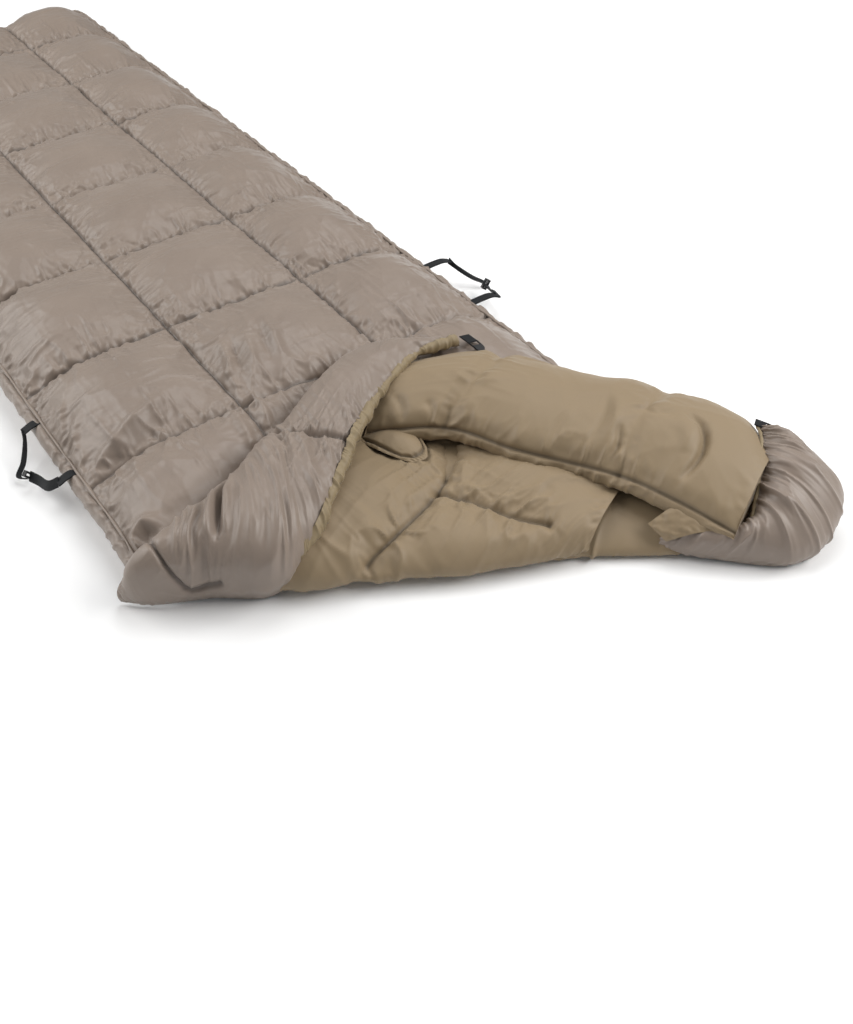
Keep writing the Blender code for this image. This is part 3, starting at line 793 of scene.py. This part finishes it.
def band_relief(x, y):
    beyond_one = smooth(x, 0.100, 0.150)
    before_two = 1 - smooth(x, 0.330, 0.390)
    along = x + 0.26 * (y - 0.09) + 1.6 * (y - 0.09) ** 2 + 0.006 * noise(x / 0.05, y / 0.05, 110)
    middle = smooth(y, 0.004, 0.045) * (1 - smooth(y, 0.130, 0.168))
    drape = ridges(along / 0.027, y / 0.10, 111, 2.8) + 0.40 * ridges(along / 0.012, y / 0.07, 114, 2.4)
    total = 0.0105 * drape * middle * beyond_one * (0.30 + 0.70 * before_two)
    total += fold(x, y, PLEAT, 0.0036, -0.0140)
    total += fold(x + 0.010, y, PLEAT, 0.0060, 0.0080) + fold(x - 0.010, y, PLEAT, 0.0055, 0.0045)
    away = distance_to(x, y, SEAM_TWO)[0]
    total += pucker(away, y, 112, reach=0.026, pitch=0.007, height=0.0046)
    total -= 0.0030 * np.exp(-((away / 0.004) ** 2))
    away = distance_to(x, y, SEAM_ONE)[0]
    total += pucker(away, y, 113, reach=0.010, pitch=0.010, height=0.0016)
    total -= 0.0025 * np.exp(-((away / 0.004) ** 2))
    total += pucker(BAND_WIDE - y, x, 116, reach=0.026, pitch=0.0060, height=0.0052) * smooth(x, 0.22, 0.30)
    total += crumple(x, y, 115, 0.030, 0.0006, 1.4)
    return total * smooth(np.minimum(y, BAND_WIDE - y), 0.0, 0.004)


def make_band():
    band = quilt("mouth_band_quilt", (BAND_LONG, BAND_WIDE), BAND_BASE, seams=[SEAM_TWO], marks=[SEAM_ONE],
                 step=0.005, fullness=0.03, pressure=4, scale_up=0.75, relief=band_relief, seed=15,
                 keep=lambda x, y: (x < 0.46 * BAND_LONG) | (y < 0.915 * BAND_WIDE))
    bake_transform(band)
    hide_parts("mouth_band_shell", "mouth_band_fill")


def make_mouth_binding():
    """The lining's edge, drawn up in fine ruffles by the cord inside it, shows along the mouth."""
    def base(u, v):
        low = 0.885 - 0.025 * smooth(u, 0.2, 0.7)
        u, v = 0.44 + 0.56 * u, low + (0.985 - low) * v
        normal, _ = normals_of(BAND_BASE, u, v, (0, 0, 1))
        swell = np.sin(np.pi * np.clip((v - 0.865) / 0.115, 0.02, 0.98))
        rise = (0.0035 + 0.0045 * swell) * smooth(u, 0.44, 0.53) - 0.002 * (1 - smooth(u, 0.44, 0.50))
        return BAND_BASE(u, v) + rise[:, None] * normal

    def relief(u, v):
        x = 0.35 * u
        return 0.0042 * ridges(x / 0.0085 + 0.6 * v, v * 0.8, 121, 1.8) + 0.0025 * noise(x / 0.02, v, 122)

    binding = smooth_sheet("mouth_binding", base, 620, 14, "piping", relief, (0, 0, 1))
    attach(binding, "mouth_band", ("mouth_hem", "mouth_drawcord"))


# ---------------------------------------------------------------- the khaki bottom layer at the head

LOWER_AT = [0.0, 0.18, 0.42, 0.66, 0.86, 1.0]
LOWER_NEAR = [(0.075, -0.190), (0.112, -0.243), (0.200, -0.300), (0.300, -0.355), (0.380, -0.392),
              (0.430, -0.412)]
LOWER_FAR = [(0.160, 0.000), (0.240, -0.030), (0.340, -0.060), (0.450, -0.120), (0.540, -0.200),
             (0.610, -0.330)]
LOWER_ACROSS = [0.0, 0.06, 0.14, 0.30, 0.60, 1.0]
LOWER_REACH = [0.08, 0.0, 0.08, 0.27, 0.60, 1.0]
LOWER_LEVEL = [0.004, 0.019, 0.040, 0.047, 0.040, 0.032]
LOWER_SIZE = (0.46, 0.29)


LOWER_SHEET = surface(LOWER_AT, LOWER_ACROSS, rows_between(LOWER_NEAR, LOWER_FAR, LOWER_REACH, LOWER_LEVEL))


def lower_base(u, v):
    """The sheet, with a dip under the tab."""
    points = LOWER_SHEET(u, v)
    under_tab = np.hypot(points[:, 0] - 0.338, points[:, 1] + 0.150) / 0.050
    points[:, 2] -= 0.022 * np.exp(-(under_tab ** 2))
    return points


LOWER_SEAM_A = trace(lower_base, LOWER_SIZE, [(0.398, -0.190), (0.378, -0.215), (0.337, -0.249),
                                              (0.290, -0.266), (0.246, -0.283), (0.204, -0.292)])
LOWER_SEAM_B = trace(lower_base, LOWER_SIZE, [(0.328, -0.252), (0.352, -0.290), (0.378, -0.340),
                                              (0.402, -0.372)])


def lower_relief(x, y):
    away = distance_to(x, y, LOWER_SEAM_A)[0]
    total = pucker(away, x + y, 131, reach=0.034, pitch=0.013, height=0.0060)
    total -= 0.005 * np.exp(-((away / 0.007) ** 2))
    away = distance_to(x, y, LOWER_SEAM_B)[0]
    total += pucker(away, x - y, 132, reach=0.028, pitch=0.011, height=0.0052)
    total -= 0.003 * np.exp(-((away / 0.005) ** 2))
    total += crumple(x, y, 133, 0.034, 0.0022, 0.9)
    return total * smooth(np.minimum(y, LOWER_SIZE[1] - y), 0.0, 0.006)


def make_lower():
    lower = quilt("head_lining_quilt", LOWER_SIZE, lower_base, seams=[LOWER_SEAM_A, LOWER_SEAM_B],
                  fullness=0.04, pressure=4, scale_up=0.8, relief=lower_relief, material="lining", seed=25)
    attach(lower, replaced=("head_fill",))


# ---------------------------------------------------------------- the draft collar

COLLAR_AT = [0.0, 0.17, 0.40, 0.70, 0.88, 1.0]
COLLAR_NEAR = [(0.316, -0.120), (0.392, -0.182), (0.437, -0.266), (0.505, -0.374), (0.532, -0.444),
               (0.556, -0.511)]
COLLAR_FAR = [(0.450, -0.050), (0.532, -0.126), (0.590, -0.218), (0.652, -0.312), (0.688, -0.396),
              (0.676, -0.456)]
COLLAR_ACROSS = [0.0, 0.06, 0.12, 0.18, 0.27, 0.46, 0.70, 0.88, 1.0]
COLLAR_REACH = [0.06, -0.03, -0.035, 0.0, 0.10, 0.38, 0.72, 0.97, 0.97]
COLLAR_LEVEL = [0.047, 0.050, 0.057, 0.064, 0.079, 0.093, 0.094, 0.078, 0.046]
COLLAR_DROP = [0.012, 0.0, 0.0, 0.0, 0.003, 0.014]
COLLAR_LONG, COLLAR_WIDE = 0.45, 0.19


def collar_rows():
    rows = []
    for near, far, drop in zip(COLLAR_NEAR, COLLAR_FAR, COLLAR_DROP):
        rows.append([(near[0] + share * (far[0] - near[0]), near[1] + share * (far[1] - near[1]),
                      max(level - drop, 0.046)) for share, level in zip(COLLAR_REACH, COLLAR_LEVEL)])
    return rows


COLLAR_BASE = surface(COLLAR_AT, COLLAR_ACROSS, collar_rows())
HEM_LINE = 0.18 * COLLAR_WIDE
HEM = [(0.0, HEM_LINE), (COLLAR_LONG, HEM_LINE)]
COLLAR_SEAM_ONE = [(0.17 * COLLAR_LONG, HEM_LINE), (0.185 * COLLAR_LONG, 0.10),
                   (0.17 * COLLAR_LONG, COLLAR_WIDE)]
COLLAR_SEAM_TWO = [(0.70 * COLLAR_LONG, HEM_LINE), (0.675 * COLLAR_LONG, 0.09),
                   (0.70 * COLLAR_LONG, COLLAR_WIDE)]
COLLAR_FOLDS = [
    # the curved crease near the far end, with a soft ridge beside it
    ([(0.352, 0.118), (0.378, 0.108), (0.392, 0.080), (0.388, 0.048)], 0.0042, -0.0105),
    ([(0.345, 0.104), (0.366, 0.096), (0.376, 0.072)], 0.0080, 0.0060),
    ([(0.300, 0.112), (0.325, 0.106), (0.345, 0.114)], 0.0050, -0.0030),
    # short creases that run up from the hem
    ([(0.245, 0.118), (0.262, 0.085), (0.262, 0.048)], 0.0060, -0.0036),
    ([(0.262, 0.118), (0.280, 0.085), (0.280, 0.045)], 0.0070, 0.0038),
    ([(0.288, 0.080), (0.298, 0.060), (0.296, 0.042)], 0.0042, -0.0060),
    ([(0.215, 0.090), (0.226, 0.070), (0.222, 0.044)], 0.0060, 0.0022),
    ([(0.012, 0.075), (0.026, 0.060), (0.034, 0.040)], 0.0036, -0.0050),
    ([(0.048, 0.062), (0.058, 0.050), (0.062, 0.038)], 0.0032, -0.0040),
    ([(0.070, 0.060), (0.076, 0.048), (0.078, 0.038)], 0.0030, -0.0030),
]


def collar_relief(x, y):
    total = folds(x, y, COLLAR_FOLDS)
    for seam, depth, seed in ((COLLAR_SEAM_ONE, 0.0050, 141), (COLLAR_SEAM_TWO, 0.0040, 142)):
        away = distance_to(x, y, seam)[0]
        total += pucker(away, y, seed, reach=0.022, pitch=0.008, height=0.0036)
        total -= depth * np.exp(-((away / 0.010) ** 2)) + 0.0008 * np.exp(-((away / 0.0025) ** 2))
    away = np.abs(y - HEM_LINE)
    total += pucker(away, x, 143, reach=0.020, pitch=0.010, height=0.0032)
    total += crumple(x, y, 144, 0.050, 0.0020, 0.5) + crumple(x, y, 146, 0.030, 0.0012, -0.6)
    total += 0.0026 * noise(x / 0.05, y / 0.05, 145)
    return total * smooth(np.minimum(y, COLLAR_WIDE - y), 0.0, 0.006)


def make_collar():
    collar = quilt("draft_collar_quilt", (COLLAR_LONG, COLLAR_WIDE), COLLAR_BASE, marks=[HEM], fullness=0.012,
                   pressure=3, scale_up=0.7, relief=collar_relief, material="lining", seed=35)
    attach(collar, "draft_collar", ("collar_cover", "collar_fill", "collar_hem"))

    def under(u, v):
        return COLLAR_BASE(u, 0 * v) * (1 - v)[:, None] + COLLAR_BASE(u, 0 * v + 1) * v[:, None]

    def end(at):
        return lambda u, v: under(0 * u + at, u) * (1 - v)[:, None] + COLLAR_BASE(0 * u + at, u) * v[:, None]

    underside = smooth_sheet("draft_collar_underside", under, 90, 24, "lining",
                             lambda u, v: 0.0015 * noise(u * 12, v * 4, 147) * np.sin(np.pi * v))
    first = smooth_sheet("draft_collar_end_a", end(0.0), 40, 6, "lining", facing=(-0.5, 0.8, 0))
    last = smooth_sheet("draft_collar_end_b", end(1.0), 40, 6, "lining", facing=(0.5, -0.8, 0))
    for piece, replaced in ((underside, ("collar_underside",)), (first, ()), (last, ())):
        attach(piece, "draft_collar", replaced)


# ---------------------------------------------------------------- the tab and the hood corner

TAB = [[(0.302, -0.118, 0.046), (0.306, -0.142, 0.051), (0.316, -0.172, 0.052), (0.333, -0.196, 0.047)],
       [(0.330, -0.116, 0.046), (0.337, -0.142, 0.054), (0.344, -0.170, 0.055), (0.353, -0.199, 0.047)],
       [(0.362, -0.116, 0.046), (0.366, -0.142, 0.051), (0.367, -0.166, 0.051), (0.365, -0.184, 0.046)]]
TAB_STITCH = [(0.008, 0.0), (0.008, 0.074), (0.018, 0.082), (0.060, 0.082), (0.067, 0.074), (0.067, 0.0)]


def make_tab():
    base = surface([0, 0.5, 1], [0, 0.35, 0.7, 1], TAB)
    tab = quilt("stay_tab", (0.075, 0.09), base, step=0.004, fullness=0.006, pressure=3, marks=[TAB_STITCH],
                relief=lambda x, y: crumple(x, y, 151, 0.02, 0.0008), material="lining", seed=45)
    attach(tab, replaced=("collar_tab",))


BACK_AT = [0.0, 0.35, 0.7, 1.0]
BACK_NEAR = [(0.360, -0.372), (0.420, -0.408), (0.475, -0.445), (0.525, -0.478)]
BACK_FAR = [(0.480, -0.290), (0.560, -0.330), (0.640, -0.390), (0.672, -0.452)]


def make_back_fold():
    """The part of the bottom layer that lies lower, in the shade under the collar."""
    rows = rows_between(BACK_NEAR, BACK_FAR, (0.10, 0.02, 0.14, 0.45, 1.0),
                        (0.002, 0.009, 0.018, 0.024, 0.034))
    base = surface(BACK_AT, [0.0, 0.12, 0.28, 0.55, 1.0], rows)
    fold_back = quilt("head_lining_fold", (0.20, 0.15), base, fullness=0.03, pressure=4, scale_up=0.6,
                      relief=lambda x, y: pucker(y, x, 191, reach=0.03, pitch=0.012, height=0.003),
                      material="lining", seed=65)
    attach(fold_back)


def make_flap():
    """The small flap of lining between the fold and the hood."""
    corner = [[(0.494, -0.436, 0.042), (0.500, -0.462, 0.030)],
              [(0.530, -0.445, 0.058), (0.528, -0.482, 0.044)],
              [(0.566, -0.470, 0.056), (0.566, -0.506, 0.046)]]
    base = surface([0, 0.5, 1], [0, 1], corner)
    flap = quilt("corner_flap", (0.09, 0.035), base, step=0.005, fullness=0.03, pressure=3,
                 relief=lambda x, y: crumple(x, y, 193, 0.015, 0.001), material="lining", seed=66)
    attach(flap)


BED_NEAR = [(0.200, -0.265), (0.340, -0.345), (0.480, -0.430), (0.590, -0.500)]
BED_FAR = [(0.420, 0.020), (0.594, -0.115), (0.640, -0.300), (0.694, -0.450)]


def make_bed():
    """The bottom layer's lining where the collar hides it, which shows once the collar is folded back."""
    rows = rows_between(BED_NEAR, BED_FAR, (0.0, 0.3, 0.7, 0.95, 1.02, 1.0),
                        (0.018, 0.024, 0.026, 0.028, 0.018, 0.003))
    base = surface([0.0, 0.4, 0.75, 1.0], [0.0, 0.3, 0.68, 0.88, 0.95, 1.0], rows)
    bed = quilt("head_lining_bed", (0.45, 0.34), base, cuts_x=[0.22], step=0.008, fullness=0.02, pressure=3,
                scale_up=0.6, relief=lambda x, y: crumple(x, y, 195, 0.04, 0.0015, 0.7),
                material="lining", seed=67)
    attach(bed)


CORNER_AT = [0.0, 0.2, 0.4, 0.6, 0.8, 1.0]
CORNER_RING = [(0.496, -0.447), (0.545, -0.500), (0.604, -0.556), (0.660, -0.562), (0.708, -0.530),
               (0.700, -0.450)]
CORNER_RING_LEVEL = [0.010, 0.008, 0.008, 0.012, 0.034, 0.046]
CORNER_EDGE = [(0.540, -0.460), (0.572, -0.508), (0.610, -0.490), (0.640, -0.464), (0.668, -0.440),
               (0.682, -0.420)]
CORNER_EDGE_LEVEL = [0.030, 0.040, 0.060, 0.075, 0.082, 0.084]
CORNER_ACROSS = [0.0, 0.3, 0.65, 0.88, 1.0]


def corner_rows():
    rows = []
    for edge, edge_level, ring, ring_level in zip(
            CORNER_EDGE, CORNER_EDGE_LEVEL, CORNER_RING, CORNER_RING_LEVEL):
        row = []
        for share, mixed in ((0.0, 0.0), (0.35, 0.12), (0.75, 0.45), (1.0, 0.8), (0.97, 1.15)):
            level = edge_level + 0.006 * (share * (1 - share) * 4) - (edge_level - ring_level) * mixed
            row.append((edge[0] + share * (ring[0] - edge[0]), edge[1] + share * (ring[1] - edge[1]),
                        max(level, 0.003)))
        rows.append(row)
    return rows


CORNER_LONG, CORNER_WIDE = 0.32, 0.12


def corner_relief(x, y):
    rays = 0.0120 * ridges(x / 0.020, y / 0.10, 161, 3.0) * np.exp(-y / 0.080)
    rays += 0.0050 * ridges(x / 0.009, y / 0.06, 164, 2.4) * np.exp(-y / 0.045)
    return (rays + crumple(x, y, 162, 0.02, 0.0008, 1.5)) * smooth(np.minimum(y, CORNER_WIDE - y), 0.0, 0.006)


def make_corner():
    base = surface(CORNER_AT, CORNER_ACROSS, corner_rows())
    corner = quilt("hood_corner_quilt", (CORNER_LONG, CORNER_WIDE), base, step=0.005, fullness=0.025,
                   pressure=4, relief=corner_relief, seed=55)
    attach(corner, replaced=("hood_corner_shell", "hood_corner_fill"))
    edge = base(np.linspace(0.25, 1, 80), np.zeros(80))
    edge[:, 2] += 0.001
    piping = tube("hood_piping", edge, 0.0022, "piping", 0.2, 163)
    attach(piping, replaced=("hood_corner_piping",))


# ---------------------------------------------------------------- undersides and linings

def smooth_sheet(name, base, columns, rows, material, relief=None, facing=(0, 0, -1)):
    """A soft sheet without quilting, for a lining or an underside."""
    u, v = (share.ravel() for share in np.meshgrid(np.linspace(0, 1, columns), np.linspace(0, 1, rows)))
    points = base(u, v)
    normal, upright = normals_of(base, u, v, facing)
    if relief is not None:
        points = points + relief(u, v)[:, None] * normal
    points[:, 2] = np.maximum(points[:, 2], GROUND_GAP)
    faces = grid_faces(columns, rows)
    faces = faces if upright else faces[:, ::-1]
    return add_mesh(name, points, faces.tolist(), material, np.stack([u, v], -1))


def make_band_lining():
    def base(u, v):
        u = 0.16 + 0.82 * u
        points = BAND_BASE(u, v)
        deep = 0.005 + 0.012 * np.sin(np.pi * v) ** 0.6
        return points - deep[:, None] * normals_of(BAND_BASE, u, v, (0, 0, 1))[0]

    def relief(u, v):
        return crumple(u * BAND_LONG, v * BAND_WIDE, 171, 0.03, 0.0015, 1.4)

    lining = smooth_sheet("mouth_band_underside", base, 150, 60, "lining", relief)
    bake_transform(lining)
    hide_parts("mouth_band_lining")


BOTTOM_OUTLINE = [
    (0.018, LENGTH - 0.018), (0.018, -0.120), (-0.010, -0.144), (0.046, -0.176), (0.112, -0.228),
    (0.200, -0.280), (0.300, -0.338), (0.410, -0.385), (0.500, -0.440), (0.545, -0.490), (0.590, -0.530),
    (0.655, -0.545), (0.690, -0.525), (0.694, -0.450), (0.650, -0.320), (RIGHT_EDGE - 0.018, -0.150),
    (RIGHT_EDGE - 0.018, LENGTH - 0.018),
]
BOTTOM_STEP = 0.007


def inside(x, y, outline):
    """Which points lie inside a closed outline."""
    within = np.zeros(x.shape, bool)
    for (ax, ay), (bx, by) in zip(outline, outline[1:] + outline[:1]):
        crosses = (ay > y) != (by > y)
        at = ax + (y - ay) * (bx - ax) / (by - ay if by != ay else 1.0)
        within ^= crosses & (x < at)
    return within


def make_bottom():
    """The underside rests flat on the ground, and lifts only along its seams."""
    (low_x, low_y), (high_x, high_y) = np.min(BOTTOM_OUTLINE, axis=0), np.max(BOTTOM_OUTLINE, axis=0)
    x, y = np.meshgrid(np.arange(low_x, high_x, BOTTOM_STEP), np.arange(low_y, high_y, BOTTOM_STEP))
    columns, rows = x.shape[1], x.shape[0]
    x, y = x.ravel(), y.ravel()
    to_column = np.abs((x + COLUMN / 2) % COLUMN - COLUMN / 2)
    to_row = np.abs((y + ROW / 2) % ROW - ROW / 2)
    seam = np.minimum(to_column, to_row)
    rise = 0.0012 + 0.0060 * np.exp(-((seam / 0.012) ** 2)) * (1 + 0.3 * noise(x / 0.02, y / 0.02, 181))
    points, faces, plan = trim(np.stack([x, y, rise], -1), grid_faces(columns, rows)[:, ::-1],
                               inside(x, y, BOTTOM_OUTLINE), np.stack([x, y], -1))
    bottom = add_mesh("bottom_quilt", points, faces.tolist(), "shell", plan)
    fills = [f"bottom_fill_{column}" for column in ("left", "middle", "right")]
    attach(bottom, replaced=("bottom_shell", "bottom_lining", *fills))


# ---------------------------------------------------------------- loops and straps

LOOP_HINGE_OUT, LOOP_LEVEL = 0.0225, 0.035
LOOP_HEAD, LOOP_FOOT = 0.042, 0.160


def make_loop(side):
    """Thin webbing runs from the seam out and down to the slider, and wider webbing back to the seam."""
    slider_low, slider_high = (np.array(corner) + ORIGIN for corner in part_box(f"{side}_slider"))
    slider = (slider_low + slider_high) / 2
    out = -1.0 if side == "left" else 1.0
    edge, seam = (0.0, 0.0) if side == "left" else (WIDTH, RIGHT_EDGE)
    hinge = edge + out * LOOP_HINGE_OUT
    thin = curve([(hinge + out * 0.001, LOOP_FOOT, LOOP_LEVEL),
                  (hinge + out * 0.006, LOOP_FOOT - 0.014, 0.028),
                  (hinge + out * 0.020, LOOP_FOOT - 0.036, 0.016), (slider[0] + out * 0.010, 0.112, 0.0085),
                  (slider[0] + out * 0.003, slider[1] + 0.006, 0.010)], 40)
    share = np.linspace(0, 1, 40)[:, None]
    upright = np.array([0.35 * out, 0.0, 1.0])
    lying = np.array([out * -0.39, 0.59, 0.71])
    turning = upright * (1 - share) + np.array([out * 0.85, 0.53, -0.05]) * share
    band = ribbon(f"{side}_loop_thin_webbing", thin, turning,
                  np.interp(share[:, 0], [0, 0.15, 1], [0.010, 0.007, 0.007]), 0.0014, "webbing")
    wide = curve([(slider[0], slider[1] - 0.001, slider[2]),
                  (slider[0] - out * 0.006, slider[1] - 0.016, 0.019),
                  (hinge + out * 0.012, LOOP_HEAD + 0.010, 0.027),
                  (hinge + out * 0.001, LOOP_HEAD, LOOP_LEVEL)], 40)
    turning = lying * (0.4 + 0.6 * share) + np.array([out * -0.5, 0.4, 0.5]) * (1 - share)
    other = ribbon(f"{side}_loop_wide_webbing", wide, turning, np.full(40, 0.0135), 0.0015, "webbing")
    attach(band, f"{side}_loop", (f"{side}_pad_loop",))
    attach(other, f"{side}_loop")
    for name, along in (("foot", LOOP_FOOT), ("head", LOOP_HEAD)):
        path = curve([(seam - out * 0.003, along, SIDE_LEVEL - 0.001), (edge + out * 0.010, along, 0.039),
                      (hinge + out * 0.003, along - 0.001, LOOP_LEVEL - 0.001)], 12)
        anchor = ribbon(f"{side}_loop_{name}_anchor", path, np.tile([0.0, 1.0, 0.0], (12, 1)),
                        np.full(12, 0.0135), 0.0018, "webbing")
        attach(anchor)


def make_strap(name, start, end, side, width):
    """A short end of webbing with a slit across its middle, sewn under the edge."""
    start, end = np.array(start, float), np.array(end, float)
    middle = (start + end) / 2 + np.array([0, 0, 0.0015])
    across_path = np.tile(side, (10, 1))
    first = ribbon(f"{name}_webbing", curve([start, middle - 0.08 * (end - start)], 10), across_path,
                   np.full(10, width), 0.0018, "webbing")
    last = ribbon(f"{name}_tip", curve([middle + 0.08 * (end - start), end], 10), across_path,
                  np.linspace(width, width * 0.85, 10), 0.0026, "plastic")
    sides = np.array(side, float) / np.linalg.norm(side)
    bars = []
    for letter, across in (("a", -1), ("b", 1)):
        shift = sides * across * (width / 2 - 0.0012)
        path = [middle + share * (end - start) + shift for share in (-0.12, 0.0, 0.12)]
        bars.append(ribbon(f"{name}_side_{letter}", path, np.tile(side, (3, 1)), np.full(3, 0.0024), 0.0022,
                           "plastic"))
    attach(first, name, (name,))
    attach(last, name, (f"{name}_buckle",))
    for bar in bars:
        attach(bar, name)


def make_loops_and_straps():
    make_loop("left")
    make_loop("right")
    make_strap("mouth_strap_a", (0.504, -0.074, 0.092), (0.515, -0.108, 0.078), (0.9, -0.1, -0.1), 0.015)
    make_strap("mouth_strap_b", (0.680, -0.418, 0.088), (0.694, -0.446, 0.082), (0.8, 0.5, 0.0), 0.012)


# ---------------------------------------------------------------- the solids that stay

def finish_sliders():
    """The two sliders are the only CAD solids that still show, and they get the detailed plastic."""
    for side in ("left", "right"):
        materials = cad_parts[f"{side}_slider"].data.materials
        materials.clear()
        materials.append(MATERIALS["plastic"])


add_camera()
add_stage()
finish_sliders()
make_top()
make_gussets()
make_band()
make_lower()
make_collar()
make_tab()
make_back_fold()
make_flap()
make_bed()
make_corner()
make_band_lining()
make_mouth_binding()
make_bottom()
make_loops_and_straps()
